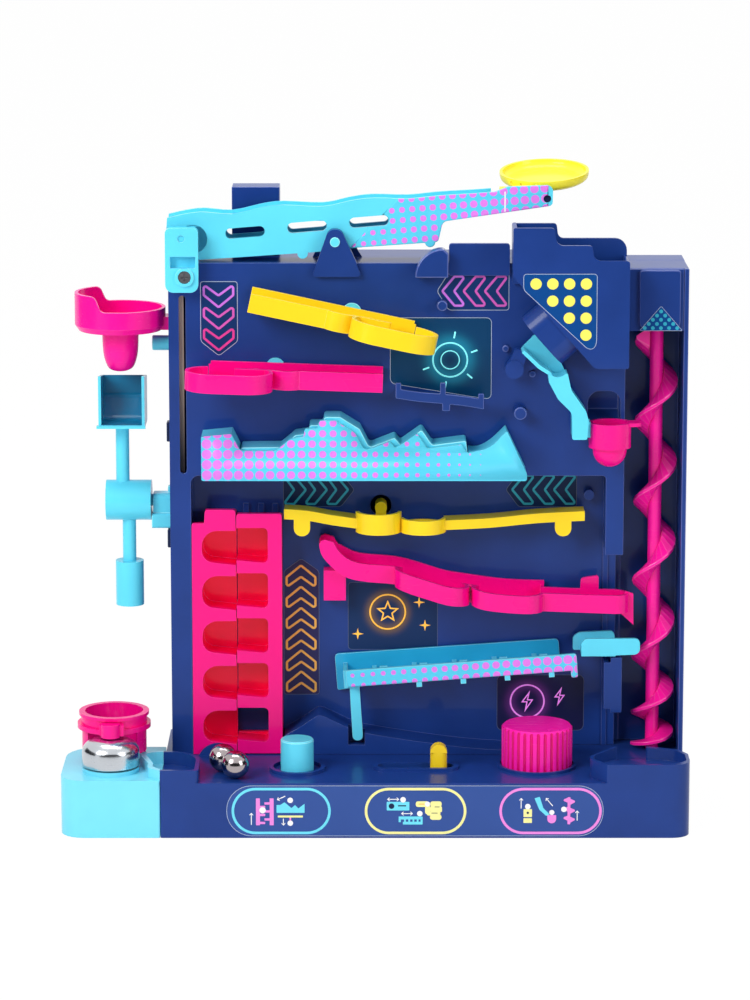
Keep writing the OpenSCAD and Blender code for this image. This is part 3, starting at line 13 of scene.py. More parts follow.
import bmesh
import bpy
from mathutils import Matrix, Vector

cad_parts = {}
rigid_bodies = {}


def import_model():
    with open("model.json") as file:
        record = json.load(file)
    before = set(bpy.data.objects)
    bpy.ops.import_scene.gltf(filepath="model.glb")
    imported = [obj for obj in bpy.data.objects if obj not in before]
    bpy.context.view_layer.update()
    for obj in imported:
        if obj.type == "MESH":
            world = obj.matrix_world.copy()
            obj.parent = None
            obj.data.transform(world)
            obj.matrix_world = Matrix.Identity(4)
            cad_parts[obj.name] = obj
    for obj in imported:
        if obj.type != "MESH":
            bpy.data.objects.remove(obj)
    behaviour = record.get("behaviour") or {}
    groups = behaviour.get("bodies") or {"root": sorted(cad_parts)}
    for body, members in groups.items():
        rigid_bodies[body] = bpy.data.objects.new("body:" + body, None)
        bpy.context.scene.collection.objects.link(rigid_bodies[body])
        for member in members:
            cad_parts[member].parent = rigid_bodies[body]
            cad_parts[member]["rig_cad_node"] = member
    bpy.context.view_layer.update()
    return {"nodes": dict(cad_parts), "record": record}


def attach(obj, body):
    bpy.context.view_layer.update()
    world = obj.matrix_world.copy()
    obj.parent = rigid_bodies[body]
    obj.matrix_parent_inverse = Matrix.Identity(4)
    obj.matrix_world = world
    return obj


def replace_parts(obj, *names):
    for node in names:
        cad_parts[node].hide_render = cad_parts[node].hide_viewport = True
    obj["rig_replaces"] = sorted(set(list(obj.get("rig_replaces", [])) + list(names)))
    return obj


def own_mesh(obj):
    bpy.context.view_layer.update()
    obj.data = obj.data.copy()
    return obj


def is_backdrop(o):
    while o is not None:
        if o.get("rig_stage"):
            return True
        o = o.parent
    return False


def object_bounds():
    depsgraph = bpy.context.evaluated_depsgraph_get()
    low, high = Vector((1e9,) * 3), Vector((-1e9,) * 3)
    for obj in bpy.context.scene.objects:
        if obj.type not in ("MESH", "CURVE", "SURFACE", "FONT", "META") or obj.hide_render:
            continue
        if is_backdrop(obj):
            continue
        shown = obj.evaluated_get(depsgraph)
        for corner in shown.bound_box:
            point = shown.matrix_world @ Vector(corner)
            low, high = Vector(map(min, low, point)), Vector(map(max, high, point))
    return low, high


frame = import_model()
MM = 0.001

# %% [markdown]
# ## The camera
#
# The picture was taken from a little above, with a long lens, so upright edges stay almost parallel.
# A short lens close by would show the same framing but would make the deck bulge. A long lens two
# metres away, tilted ten degrees down, keeps the toy's proportions. The small shift lowers the frame
# without tilting the camera any further.

# %% Camera
CAMERA_PLACE, LOOK_DOWN = (0, -1.9, 0.549), math.radians(10.3)
bpy.ops.object.camera_add(location=CAMERA_PLACE, rotation=(math.radians(90) - LOOK_DOWN, 0, 0))
camera = bpy.context.object
camera.name = "portrait_camera"
camera.data.lens = 138.9
camera.data.sensor_width = 36
camera.data.shift_y = -0.0854
camera.data.clip_end = 60
bpy.context.scene.camera = camera
bpy.context.scene.view_settings.view_transform = "Standard"
print("camera lens:", camera.data.lens, "mm")

# %% [markdown]
# ## Light, floor and background
#
# Toys for a catalogue stand in a white studio: one broad light from the left, a weaker one from the
# right, and a pale floor that runs up out of sight. The background could be made white by flooding the
# toy with light, but that would bleach its colours. Here the lamps stay modest, and the floor and the
# sky simply answer the camera with white, while the toy itself is lit at a plain level.

# %% Lamps
def soft_box(name, place, aim, size, watts):
    bpy.ops.object.light_add(type="AREA", location=place)
    lamp = bpy.context.object
    lamp.name = name
    lamp.data.shape = "RECTANGLE"
    lamp.data.size, lamp.data.size_y = size
    lamp.data.energy = watts
    lamp.rotation_euler = (Vector(aim) - Vector(place)).to_track_quat("-Z", "Y").to_euler()


AIM = (0, 0, 0.16)
soft_box("key_light", (-1.1, -1.2, 1.15), AIM, (0.9, 0.9), 25)
soft_box("fill_light", (1.25, -1.1, 0.7), AIM, (0.7, 1.0), 9.5)
soft_box("top_light", (0.0, 0.1, 1.5), AIM, (1.2, 0.6), 13)

# %% [markdown]
# A material is a net of nodes. With a line for every input, the net would get lost among its numbers.
# So a few small functions make a node with its inputs filled, a sum, a fresh material and a fresh
# group of nodes, and the cells that follow only name what matters.

# %% Helpers for nodes
WHITE = (1, 1, 1, 1)


def feed(tree, node, inputs):
    # An input takes a value, or a link where another node's output is given
    for key, value in inputs.items():
        if isinstance(value, bpy.types.NodeSocket):
            tree.links.new(value, node.inputs[key])
        else:
            node.inputs[key].default_value = value


def add(tree, kind, inputs=None, **settings):
    # The settings go first, because they decide which inputs there are
    node = tree.nodes.new("ShaderNode" + kind)
    for key, value in settings.items():
        setattr(node, key, value)
    feed(tree, node, inputs or {})
    return node


def maths(tree, operation, *values):
    return add(tree, "Math", dict(enumerate(values)), operation=operation).outputs[0]


def blank(name):
    material = bpy.data.materials.new(name)
    material.use_nodes = True
    return material, material.node_tree, material.node_tree.nodes["Principled BSDF"]


def new_group(name, inputs, outputs):
    # Sockets called Vector and Colour are of those kinds, all others are numbers
    kinds = {"Vector": "NodeSocketVector", "Colour": "NodeSocketColor"}
    group = bpy.data.node_groups.new(name, "ShaderNodeTree")
    for way, labels in (("INPUT", inputs), ("OUTPUT", outputs)):
        for label in labels:
            kind = kinds.get(label, "NodeSocketFloat")
            group.interface.new_socket(name=label, in_out=way, socket_type=kind)
    return group, group.nodes.new("NodeGroupInput").outputs, group.nodes.new("NodeGroupOutput")


# %% Sky that answers the camera, mirrors and glass with white
SKY_LEVEL = 0.27
world = bpy.data.worlds.new("studio_sky")
bpy.context.scene.world = world
world.use_nodes = True
sky = world.node_tree
sky.nodes.clear()


def white_for_camera(tree):
    # 1 for rays that see the background, 0 for rays that carry light to the toy
    path = add(tree, "LightPath").outputs
    either = maths(tree, "MAXIMUM", path["Is Camera Ray"], path["Is Glossy Ray"])
    return maths(tree, "MAXIMUM", either, path["Is Transmission Ray"])


dim = add(sky, "Background", {"Strength": SKY_LEVEL})
bright = add(sky, "Background", {"Color": WHITE, "Strength": 1.0})
choose = add(sky, "MixShader", {"Fac": white_for_camera(sky), 1: dim.outputs[0], 2: bright.outputs[0]})
add(sky, "OutputWorld", {"Surface": choose.outputs[0]})
print("sky level for the toy:", SKY_LEVEL)

# %% Floor
FLOOR_SIDE, FLOOR_GLOW, GLOW_SHARE = 24, 1.012, 0.975
bpy.ops.mesh.primitive_plane_add(size=FLOOR_SIDE, location=(0, 6, 0))
floor = bpy.context.object
floor.name = "studio_floor"
bpy.ops.object.transform_apply(location=True)
paper, tree, matte = blank("floor_paper")
feed(tree, matte, {"Base Color": (0.93, 0.93, 0.93, 1), "Roughness": 0.9})
glow = add(tree, "Emission", {"Color": WHITE, "Strength": FLOOR_GLOW})
share = maths(tree, "MULTIPLY", white_for_camera(tree), GLOW_SHARE)
mix = add(tree, "MixShader", {"Fac": share, 1: matte.outputs[0], 2: glow.outputs[0]})
feed(tree, tree.nodes["Material Output"], {"Surface": mix.outputs[0]})
floor.data.materials.append(paper)
floor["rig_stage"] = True
print("floor side:", FLOOR_SIDE, "m")

# %% [markdown]
# Glossy plastic mirrors whatever stands around it. In an all-white room that lays a grey veil over the
# dark blue, and steel balls turn into white blobs. Photographers stand black cards round a shiny
# subject for this. The cards here are low, so the lamps still shine over them, and they are hidden
# from the camera and from the soft light: only reflections see them.

# %% Black cards for the shine
def black_card(name, x, y, width, turn):
    upright = (math.radians(90), 0, math.radians(turn))
    bpy.ops.mesh.primitive_plane_add(size=1, location=(x, y, CARD_HEIGHT / 2), rotation=upright)
    card = bpy.context.object
    card.name = name
    card.scale = (width, CARD_HEIGHT, 1)
    bpy.ops.object.transform_apply(location=True, rotation=True, scale=True)
    for ray in ("visible_camera", "visible_diffuse", "visible_shadow", "visible_transmission"):
        setattr(card, ray, False)
    card.data.materials.append(card_black)
    card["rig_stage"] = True


CARD_HEIGHT = 0.72
card_black, tree, shader = blank("card_black")
feed(tree, shader, {"Base Color": (0.02, 0.02, 0.025, 1), "Roughness": 1.0})
black_card("card_front", 0, -1.4, 2.6, 0)
black_card("card_left", -1.5, 0.1, 1.8, 90)
black_card("card_right", 1.5, 0.1, 1.8, 90)

# %% [markdown]
# ## One skin for every moulded plastic
#
# Injection-moulded plastic is never one flat colour. The melt leaves a faint mottle, the mould's
# polish leaves a fine ripple, and handling leaves hairline scratches that only show in a highlight.
# All the plastics share this, so it is built once as a node group: it puts out a varied colour, a
# roughness and a height. The shader itself stays in each material, which sets its own values.

# %% The shared skin
def moulded_skin():
    group, entry, leave = new_group("moulded_skin", ("Colour", "Mottle", "Roughness", "Scratch"),
                                    ("Colour", "Roughness", "Height"))
    where = add(group, "TexCoord").outputs["Object"]
    # Soft clouds a few centimetres across, for the mottle of the melt
    clouds = add(group, "TexNoise", {"Vector": where, "Scale": 38, "Detail": 3})
    spread = add(group, "MapRange", {"Value": clouds.outputs["Fac"], "From Min": 0.3, "From Max": 0.7,
                                     "To Min": -1, "To Max": 1}).outputs[0]
    amount = maths(group, "MULTIPLY_ADD", spread, entry["Mottle"], 1.0)
    tone = add(group, "HueSaturation", {"Color": entry["Colour"], "Value": amount})
    # Hairlines: a noise drawn out along one direction, cut down to its thin peaks
    drawn = add(group, "Mapping", {"Vector": where, "Rotation": (0.4, 0.9, 0.5), "Scale": (60, 900, 900)})
    hair = add(group, "TexNoise", {"Vector": drawn.outputs[0], "Scale": 1, "Detail": 2})
    peaks = add(group, "MapRange", {"Value": hair.outputs["Fac"], "From Min": 0.62, "From Max": 0.72})
    rough = maths(group, "MULTIPLY_ADD", peaks.outputs[0], entry["Scratch"], entry["Roughness"])
    cloudy = maths(group, "MULTIPLY_ADD", spread, 0.02, rough)
    # The mould's polish: ripples about a millimetre apart
    ripple = add(group, "TexNoise", {"Vector": where, "Scale": 850, "Detail": 1})
    feed(group, leave, {"Colour": tone.outputs[0], "Roughness": cloudy, "Height": ripple.outputs["Fac"]})
    return group


SKIN = moulded_skin()
print("skin group sockets:", [s.name for s in SKIN.interface.items_tree])

# %% [markdown]
# ## The plastics and metals
#
# The toy has four glossy plastics, a plain grey one for the works inside, and polished steel. A clear
# coat on top of the plastic gives the sharp window-like highlights of a polished mould, over a softer
# body shine. Steel takes its look from what it mirrors, so it only needs a fine brushed ripple.
#
# Rounded edges catch the light as thin bright lines. So every plastic has a second finish for its rounded
# edges,
# with a painted highlight: a colour mixed from its own and a pale one, and a harder shine.
#
# Light that bounces about in a pink pocket comes out redder each time, and the comb's rear plate stands deep
# in the recess, in shade. These two get painted shade: a colour that deepens with the distance behind the
# panel's front.

# %% Plastics
RIPPLE_HEIGHT = 0.2 * MM


def plastic(name, colour, roughness=0.3, coat=0.2, mottle=0.04, scratch=0.05, ripple=0.02, more={}):
    # More holds further inputs of the shader
    material, tree, shader = blank(name)
    skin = add(tree, "Group", {"Colour": (*colour, 1), "Mottle": mottle, "Roughness": roughness,
                               "Scratch": scratch}, node_tree=SKIN, name="skin").outputs
    bump = add(tree, "Bump", {"Strength": ripple, "Distance": RIPPLE_HEIGHT, "Height": skin["Height"]})
    feed(tree, shader, {"Base Color": skin["Colour"], "Roughness": skin["Roughness"],
                        "Normal": bump.outputs["Normal"], "IOR": 1.47, "Specular IOR Level": 0.18,
                        "Coat Weight": coat, "Coat Roughness": 0.06, **more})
    return material


FINISH = {
    "navy_plastic": plastic("navy_gloss", (0.010, 0.042, 0.225), roughness=0.34, mottle=0.08),
    "cyan_plastic": plastic("sky_gloss", (0.115, 0.69, 0.89)),
    "pink_plastic": plastic("pink_gloss", (0.92, 0.002, 0.255), roughness=0.28),
    "yellow_plastic": plastic("yellow_gloss", (0.95, 0.66, 0.014)),
    "inner_plastic": plastic("works_grey", (0.42, 0.43, 0.46), roughness=0.5, coat=0.0),
}
# Painted highlight: each plastic's rounded edges take a paler colour, with a harder shine and more coat
EDGE_HIGHLIGHT = {
    "navy_plastic": plastic("navy_edge_highlight", (0.075, 0.115, 0.36), roughness=0.24, coat=0.5),
    "cyan_plastic": plastic("sky_edge_highlight", (0.33, 0.86, 0.96), roughness=0.22, coat=0.5),
    "pink_plastic": plastic("pink_edge_highlight", (0.96, 0.06, 0.36), roughness=0.2, coat=0.5),
    "yellow_plastic": plastic("yellow_edge_highlight", (0.98, 0.80, 0.12), roughness=0.22, coat=0.5),
    "inner_plastic": FINISH["inner_plastic"],
}
print("plastics:", list(FINISH))


# %% Finishes of single pieces
def two_toned(material, first, second, share):
    # The skin's colour goes from the first to the second as the share goes from 0 to 1
    tree = material.node_tree
    blend = add(tree, "Mix", {"Factor": share, "A": (*first, 1), "B": (*second, 1)}, data_type="RGBA")
    feed(tree, tree.nodes["skin"], {"Colour": blend.outputs["Result"]})
    return material


def graded(material, first, second, axis, start, end):
    # Between two places on an axis, in mm, the first colour turns into the second
    tree = material.node_tree
    place = add(tree, "SeparateXYZ", {0: add(tree, "TexCoord").outputs["Object"]}).outputs[axis]
    share = add(tree, "MapRange", {"Value": place, "From Min": start * MM, "From Max": end * MM})
    return two_toned(material, first, second, share.outputs[0])


def shaded_by_depth(name, colour, shade_colour, start, end):
    # Painted shade: the two places are depths behind the panel's front, where the colour deepens to the shade
    # colour
    return graded(plastic(name, colour), colour, shade_colour, "Y", start, end)


OWN = {
    "ladder_fixed": shaded_by_depth("pink_pockets_painted_shade", (0.92, 0.002, 0.22), (0.92, 0.0, 0.07), 0.6, 6.0),
    "comb_rail": shaded_by_depth("sky_comb_painted_shade", (0.115, 0.69, 0.89), (0.02, 0.40, 0.68), 10.0, 16.4),
    "catch_dish": plastic("lemon_gloss", (0.96, 0.84, 0.045)),
    "bell_stand": plastic("pale_sky_gloss", (0.19, 0.71, 0.89)),
    "left_cup": plastic("magenta_gloss", (0.93, 0.003, 0.31), roughness=0.26),
    "lift_screw": plastic("pink_lit", (0.99, 0.010, 0.34), roughness=0.26),
    "control_knob": plastic("knob_gloss", (0.99, 0.012, 0.40), roughness=0.26),
}
OWN["ladder_riser"] = OWN["ladder_fixed"]
OWN["screw_core"] = OWN["lift_screw"]
print("pieces with a finish of their own:", list(OWN))


# %% Metals
def metal(name, colour, roughness, scratch):
    return plastic(name, colour, roughness, 0.0, 0.03, scratch, ripple=0.003, more={"Metallic": 1.0})


FINISH["polished_steel"] = metal("polished_steel_skin", (0.62, 0.62, 0.63), 0.07, 0.1)
FINISH["screw_steel"] = metal("zinc_steel_skin", (0.22, 0.22, 0.24), 0.32, 0.15)
EDGE_HIGHLIGHT.update({name: FINISH[name] for name in ("polished_steel", "screw_steel")})
OWN["bell"] = metal("bell_steel", (0.58, 0.61, 0.65), 0.2, 0.12)
OWN["steel_ball_a"] = OWN["steel_ball_b"] = metal("dark_chrome", (0.42, 0.37, 0.38), 0.13, 0.08)
SLOT = {part["node"]: part["material_slot"] for part in frame["record"]["subparts"]}
BODY = {n: b for b, members in frame["record"]["behaviour"]["bodies"].items() for n in members}
print("finishes:", len(FINISH))

# %% [markdown]
# ## Round the edges
#
# A mould can't have knife edges, so every plastic piece has small rounded edges, and these catch the
# light as thin bright lines. A bevel in the shader would only pretend. Here each solid is copied, its
# loose triangles are merged into whole faces, and a Bevel modifier rounds the edges that are sharper
# than a set angle. A width too large for a thin spot can fold the mesh, so the piece is measured
# afterwards. Folded faces are filled anew, and a narrower bevel is tried if that fails, or if the
# volume or the box has changed too much. Smooth shading would then spread the edges' roundness over
# the flat faces, so the larger faces decide the normals.

# %% Helpers for picking and editing
SMOOTH_ANGLE = math.radians(34)


def pick(thing):
    bpy.ops.object.select_all(action="DESELECT")
    thing.select_set(True)
    bpy.context.view_layer.objects.active = thing


def smooth(thing):
    pick(thing)
    bpy.ops.object.shade_smooth_by_angle(angle=SMOOTH_ANGLE)


def take(action="SELECT"):
    bpy.ops.mesh.select_all(action=action)


def edit(thing):
    pick(thing)
    bpy.ops.object.mode_set(mode="EDIT")
    take()


def done():
    bpy.ops.object.mode_set(mode="OBJECT")


def face_out():
    # All faces look outward, and the editing ends
    take()
    bpy.ops.mesh.normals_make_consistent(inside=False)
    done()


def edit_copy(source, name, tag):
    # A free copy, open for editing, without the source's tag
    pick(source)
    bpy.ops.object.duplicate()
    copy = bpy.context.object
    copy.name, copy.parent = name, None
    del copy[tag]
    edit(copy)
    return copy


def apply(thing, kind, **values):
    pick(thing)
    step = thing.modifiers.new(kind.lower(), kind)
    for key, value in values.items():
        setattr(step, key, value)
    bpy.ops.object.modifier_apply(modifier=step.name)


# %% Measure a mesh and mend its folds
# A face counts as folded from this many square mm on
FOLD_AREA, MOST_FOLDS = 0.6, 12


def measure(thing):
    # Volume and box of a mesh, and whether every edge has two faces
    mesh = bmesh.new()
    mesh.from_mesh(thing.data)
    places = [v.co for v in mesh.verts]
    low = [min(p[i] for p in places) for i in range(3)]
    high = [max(p[i] for p in places) for i in range(3)]
    found = mesh.calc_volume(signed=True), low, high, all(e.is_manifold for e in mesh.edges)
    mesh.free()
    return found


def folded(thing):
    # The faces whose triangles cover more than the face itself: such a face is filled wrongly
    thing.data.calc_loop_triangles()
    spread = [-f.area for f in thing.data.polygons]
    for triangle in thing.data.loop_triangles:
        spread[triangle.polygon_index] += triangle.area
    return [i for i, extra in enumerate(spread) if extra > FOLD_AREA * MM ** 2]


def refill(thing):
    # Each folded face is taken out, and the rims that it leaves are filled anew
    for _ in range(MOST_FOLDS):
        found = folded(thing)
        if not found:
            return
        edit(thing)
        bpy.ops.mesh.select_mode(type="FACE")
        take("DESELECT")
        mesh = bmesh.from_edit_mesh(thing.data)
        mesh.faces.ensure_lookup_table()
        mesh.faces[found[0]].select_set(True)
        bmesh.update_edit_mesh(thing.data)
        bpy.ops.mesh.delete(type="FACE")
        bpy.ops.mesh.select_mode(type="EDGE")
        bpy.ops.mesh.select_non_manifold(extend=False)
        bpy.ops.mesh.fill(use_beauty=True)
        bpy.ops.mesh.select_mode(type="VERT")
        face_out()


# %% Copy a solid and round it
# Corners closer than this many mm become one; the left cup has a hair-wide ledge that has to close
CLOSE = {"left_cup": 0.09, "lower_pink_track": 0.05}
CLOSE_ELSEWHERE, FLAT_ANGLE = 0.004, math.radians(0.4)
# Edges sharper than this are rounded, in this many steps and with these shares of the full width
SHARP_ANGLE, BEVEL_STEPS, BEVEL_SHARES = math.radians(32), 2, (1, 0.6, 0.35, 0)
# A bevel is sound if the box grows by less than this many mm, and the volume changes by a smaller share
MOST_GROWTH, MOST_CHANGE = 0.05, 0.12


def merged_copy(node, name):
    copy = edit_copy(frame["nodes"][node], name, "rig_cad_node")
    bpy.ops.mesh.remove_doubles(threshold=CLOSE.get(node, CLOSE_ELSEWHERE) * MM)
    bpy.ops.mesh.dissolve_limited(angle_limit=FLAT_ANGLE)
    done()
    return copy


def stand_for(piece, node):
    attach(piece, BODY[node])
    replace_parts(piece, node)


def rounded(node, width):
    for share in BEVEL_SHARES:
        piece = merged_copy(node, node + "_moulded")
        volume, low, high, _ = measure(piece)
        piece.data.materials.clear()
        piece.data.materials.append(OWN.get(node, FINISH[SLOT[node]]))
        # The bevel gives its faces the second material, the edge finish with its painted highlight
        piece.data.materials.append(EDGE_HIGHLIGHT[SLOT[node]])
        if share > 0:
            apply(piece, "BEVEL", width=width * share * MM, segments=BEVEL_STEPS, limit_method="ANGLE",
                  angle_limit=SHARP_ANGLE, use_clamp_overlap=True, miter_outer="MITER_ARC",
                  harden_normals=False, material=1)
            refill(piece)
        now, new_low, new_high, closed = measure(piece)
        grown = max([a - b for a, b in zip(low, new_low)] + [b - a for a, b in zip(high, new_high)])
        sound = closed and not folded(piece) and grown < MOST_GROWTH * MM
        if share == 0 or (sound and abs(now - volume) < MOST_CHANGE * volume):
            break
        bpy.data.objects.remove(piece)
    smooth(piece)
    apply(piece, "WEIGHTED_NORMAL", keep_sharp=True)
    stand_for(piece, node)
    print(f"{node}: bevel {width * share:.2f} mm, {len(piece.data.polygons)} faces, closed {closed}")
    return piece


# %% Which edges are how round, in millimetres
EDGE = {
    "base_tub": 0.9, "base_cover": 0.4, "bell_stand": 1.1, "front_panel": 0.5, "recess_tray": 0.5,
    "rear_housing": 0.7, "screw_column": 0.6, "column_cap": 0.5, "exit_chute": 0.4, "hopper": 0.6,
    "rear_tower": 0.8, "beam_bracket": 0.7, "beam_stop": 0.7, "end_block": 0.7, "track_shelf": 0.4,
    "deflector_pegs": 0.7, "hill_front": 0.5, "hill_mover": 0.4, "ladder_fixed": 0.6, "ladder_riser": 0.6,
    "lower_pink_track": 0.3, "comb_rail": 0.35, "catch_tray": 0.5, "left_cup": 0.5, "cup_peg": 0.5,
    "pendulum_bracket": 0.6, "pendulum": 0.6, "bell_ring": 0.45, "push_button": 0.7, "gate_bar": 0.35,
    "slider_lever": 0.7, "yellow_track": 0.35, "yellow_crank": 0.3, "pink_track": 0.35, "pink_crank": 0.3,
    "top_beam": 0.5, "catch_dish": 0.4, "beam_pin": 0.4, "comb_shuttle": 0.4, "control_knob": 0.22,
    "lift_screw": 0.35, "swing_arm": 0.45, "arm_cup": 0.4, "arm_hub": 0.4, "ball_lifter": 0.6,
    "bell": 0.25, "housing_screws": 0.15, "lift_yoke": 0.4, "slider_carriage": 0.4, "transfer_lever": 0.4,
    "link_bar": 0.3, "button_rocker": 0.3, "steel_ball_a": 0.1, "steel_ball_b": 0.1,
}
moulded = {node: rounded(node, width) for node, width in EDGE.items()}
print("rounded pieces:", len(moulded))


# %% Hollows that lie in shade
def in_hollow(node, finish, inside):
    # Faces whose middle, in mm, and whose normal pass the test take the shaded finish
    piece = moulded[node]
    piece.data.materials.append(finish)
    found = [f for f in piece.data.polygons if inside(f.center / MM, f.normal)]
    for face in found:
        face.material_index = len(piece.data.materials) - 1
    print(f"{node}: {len(found)} faces in the hollow")


SCOOP_LOW, SCOOP_HIGH = (-138, 4.8, 197), (-116.5, 26.6, 223)
KNOB_AXIS, KNOB_FOOT, FLUTE_REACH = Vector((81.4, -20.5)), 31, 17.5
in_hollow("pendulum", plastic("sky_shade", (0.003, 0.19, 0.36)),
          lambda p, n: n.y < 0.9 and all(a < v < b for a, v, b in zip(SCOOP_LOW, p, SCOOP_HIGH)))
in_hollow("control_knob", plastic("pink_shade", (0.74, 0.0, 0.17)),
          lambda p, n: (p.xy - KNOB_AXIS).length < FLUTE_REACH and abs(n.z) < 0.3 and p.z > KNOB_FOOT)

# %% The solids that need no rounding only get their finish
for node, thing in frame["nodes"].items():
    if node not in moulded:
        thing.data.materials.clear()
        thing.data.materials.append(OWN.get(node, FINISH[SLOT[node]]))
        smooth(thing)
print("plain solids:", sorted(set(frame["nodes"]) - set(moulded)))

# %% [markdown]
# ### The spring under the button
#
# A real spring gets shorter as the button goes down. A stiff coil would poke through the button's floor,
# and a coil that rode on the button would sink into the base. Here a copy of the coil stands for it.

# %% A copy of the spring
spring = merged_copy("button_spring", "button_spring_coil")
smooth(spring)
stand_for(spring, "button_spring")
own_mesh(spring)

# %% [markdown]
# ## Thin printed pieces
#
# Stickers are thin films with rounded corners, printed in bright inks. They could be painted into the
# plastic's own material, but then their cut edges and their slight thickness would be missing. So each
# one is a real film: a flat face whose corners are put in place, rounded with a vertex bevel, and
# given a thickness. The glowing outlines are made the same way, with the middle taken out.

# %% Inks
def ink(name, colour, roughness=0.34, coat=0.05, more={}):
    return plastic(name, colour, roughness, coat, mottle=0.03, scratch=0.06, ripple=0.005,
                   more={"Specular IOR Level": 0.16, **more})


INK = {
    "film": ink("film_midnight", (0.003, 0.020, 0.085)),
    "film_blue": ink("film_blue", (0.001, 0.058, 0.25)),
    "film_navy": ink("film_navy", (0.005, 0.032, 0.14)),
    "film_plum": ink("film_plum", (0.026, 0.024, 0.105)),
    "film_control": ink("film_control", (0.034, 0.082, 0.30)),
    "cut": ink("film_cut_edge", (0.42, 0.50, 0.66)),
    # Painted shade: a darker copy of the cut edge's colour, for the stickers in the recess
    "cut_painted_shade": ink("film_cut_dim", (0.10, 0.13, 0.24)),
    "lilac": ink("ink_lilac", (0.56, 0.17, 0.74)),
    "orchid": ink("ink_orchid", (0.62, 0.11, 0.50)),
    "cerise": ink("ink_cerise", (0.66, 0.055, 0.32)),
    "rose": ink("ink_rose", (0.83, 0.25, 0.70)),
    "teal": ink("ink_teal", (0.035, 0.41, 0.55)),
    "gold": ink("ink_gold", (0.88, 0.47, 0.10)),
    "lemon": ink("ink_lemon", (0.92, 0.84, 0.13)),
    "sky": ink("ink_sky", (0.16, 0.70, 0.86)),
    "straw": ink("ink_straw", (0.88, 0.84, 0.33)),
    "white": ink("ink_white", (0.88, 0.88, 0.88)),
    "dark": ink("ink_dark", (0.01, 0.02, 0.07)),
}
print("inks:", list(INK))

# %% A flat film from its corners
# How thick a film is, and how far in front of the plastic it and the prints on it lie, in mm
FILM, LIFT = 0.10, 0.03
FILM_TOP = LIFT + FILM
CUT_AT, SIGN_AT, ARROW_AT, DOT_AT, NEON_AT = (LIFT + step for step in (0.01, 0.03, 0.04, 0.05, 0.06))


def flat(name, corners, y, radius=0.0, thick=FILM, hollow=0.0, material="film", steps=4):
    # corners are (x, z) in mm, seen from the front; y is the back of the film in mm
    bpy.ops.mesh.primitive_circle_add(vertices=len(corners), radius=1, fill_type="NGON")
    piece = bpy.context.object
    piece.name = name
    for vertex, (x, z) in zip(piece.data.vertices, corners):
        vertex.co = (x * MM, y * MM, z * MM)
    edit(piece)
    # A narrow ring is rounded at its upright edges at the end, because an inset would fold its corners
    narrow = 0 < radius < hollow
    if radius > 0 and not narrow:
        bpy.ops.mesh.bevel(offset=radius * MM, segments=steps, affect="VERTICES", clamp_overlap=True)
    if hollow > 0:
        take()
        bpy.ops.mesh.inset(thickness=hollow * MM, use_even_offset=True)
        bpy.ops.mesh.delete(type="FACE")
        take()
    bpy.ops.mesh.extrude_region_move(TRANSFORM_OT_translate={"value": (0, -thick * MM, 0)})
    if narrow:
        bpy.ops.mesh.select_mode(type="EDGE")
        take("DESELECT")
        mesh = bmesh.from_edit_mesh(piece.data)
        for edge in mesh.edges:
            along = edge.verts[0].co - edge.verts[1].co
            if abs(along.y) > 0.5 * thick * MM:
                edge.select_set(True)
        bmesh.update_edit_mesh(piece.data)
        bpy.ops.mesh.bevel(offset=radius * MM, segments=steps, affect="EDGES", clamp_overlap=False)
        bpy.ops.mesh.select_mode(type="VERT")
    face_out()
    piece.location = piece.rotation_euler = (0, 0, 0)
    piece.data.materials.append(INK[material])
    return piece


# %% Helpers for stickers
def sticker(name, outline, y, radius, line, material, cut="cut", **more):
    # A film, and in front of it the pale line of its cut edge
    return [flat(name + "_film", outline, y - LIFT, radius, material=material, **more),
            flat(name + "_cut", outline, y - CUT_AT, radius, hollow=line, material=cut, **more)]


def joined(name, pieces, body="housing", step=0.0):
    # With a step, each piece lies that many millimetres in front of the one before it
    bpy.ops.object.select_all(action="DESELECT")
    for i, piece in enumerate(pieces):
        piece.location.y = -i * step * MM
        piece.select_set(True)
    bpy.context.view_layer.objects.active = pieces[0]
    bpy.ops.object.join()
    whole = bpy.context.object
    whole.name = name
    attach(whole, body)
    print(f"{name}: {len(whole.data.polygons)} faces")


def turned(shape, x, z, way):
    # The shape's corners, turned by so many degrees and moved to (x, z)
    c, s = math.cos(math.radians(way)), math.sin(math.radians(way))
    return [(x + c * a - s * b, z + s * a + c * b) for a, b in shape]


def oblong(x0, x1, z0, z1):
    return [(x0, z0), (x1, z0), (x1, z1), (x0, z1)]


def disc(name, x, z, r, y, material, thick=FILM, sides=24):
    ring = [corner for i in range(sides) for corner in turned([(r, 0)], x, z, 360 * i / sides)]
    return flat(name, ring, y, thick=thick, material=material)


def block(name, x0, x1, z0, z1, y, material, radius=0.25, thick=FILM):
    return flat(name, oblong(x0, x1, z0, z1), y, radius, thick, material=material, steps=2)


# %% [markdown]
# ### Arrow stickers
#
# Rows of hollow arrows show which way the balls run: pink on the panel, teal and gold in the recess.
# One arrow is an outline of six corners. It is turned to its direction, repeated, and laid on a dark
# film whose pointed end follows the arrows and whose pale cut edge shows as a hairline.

# %% Arrows
# The tip is at (0, 0) and points right; its corners have two radii, outside and in the notch
ARROW = [(0, 0), (-6.6, 7.9), (-13.2, 7.9), (-7.4, 0), (-13.2, -7.9), (-6.6, -7.9)]
ARROW_LINE, ARROW_ROUND, ARROW_NOTCH, ARC_STEPS = 1.15, 1.4, 0.3, 4
FILM_ROUND, CUT_LINE = 1.4, 0.28


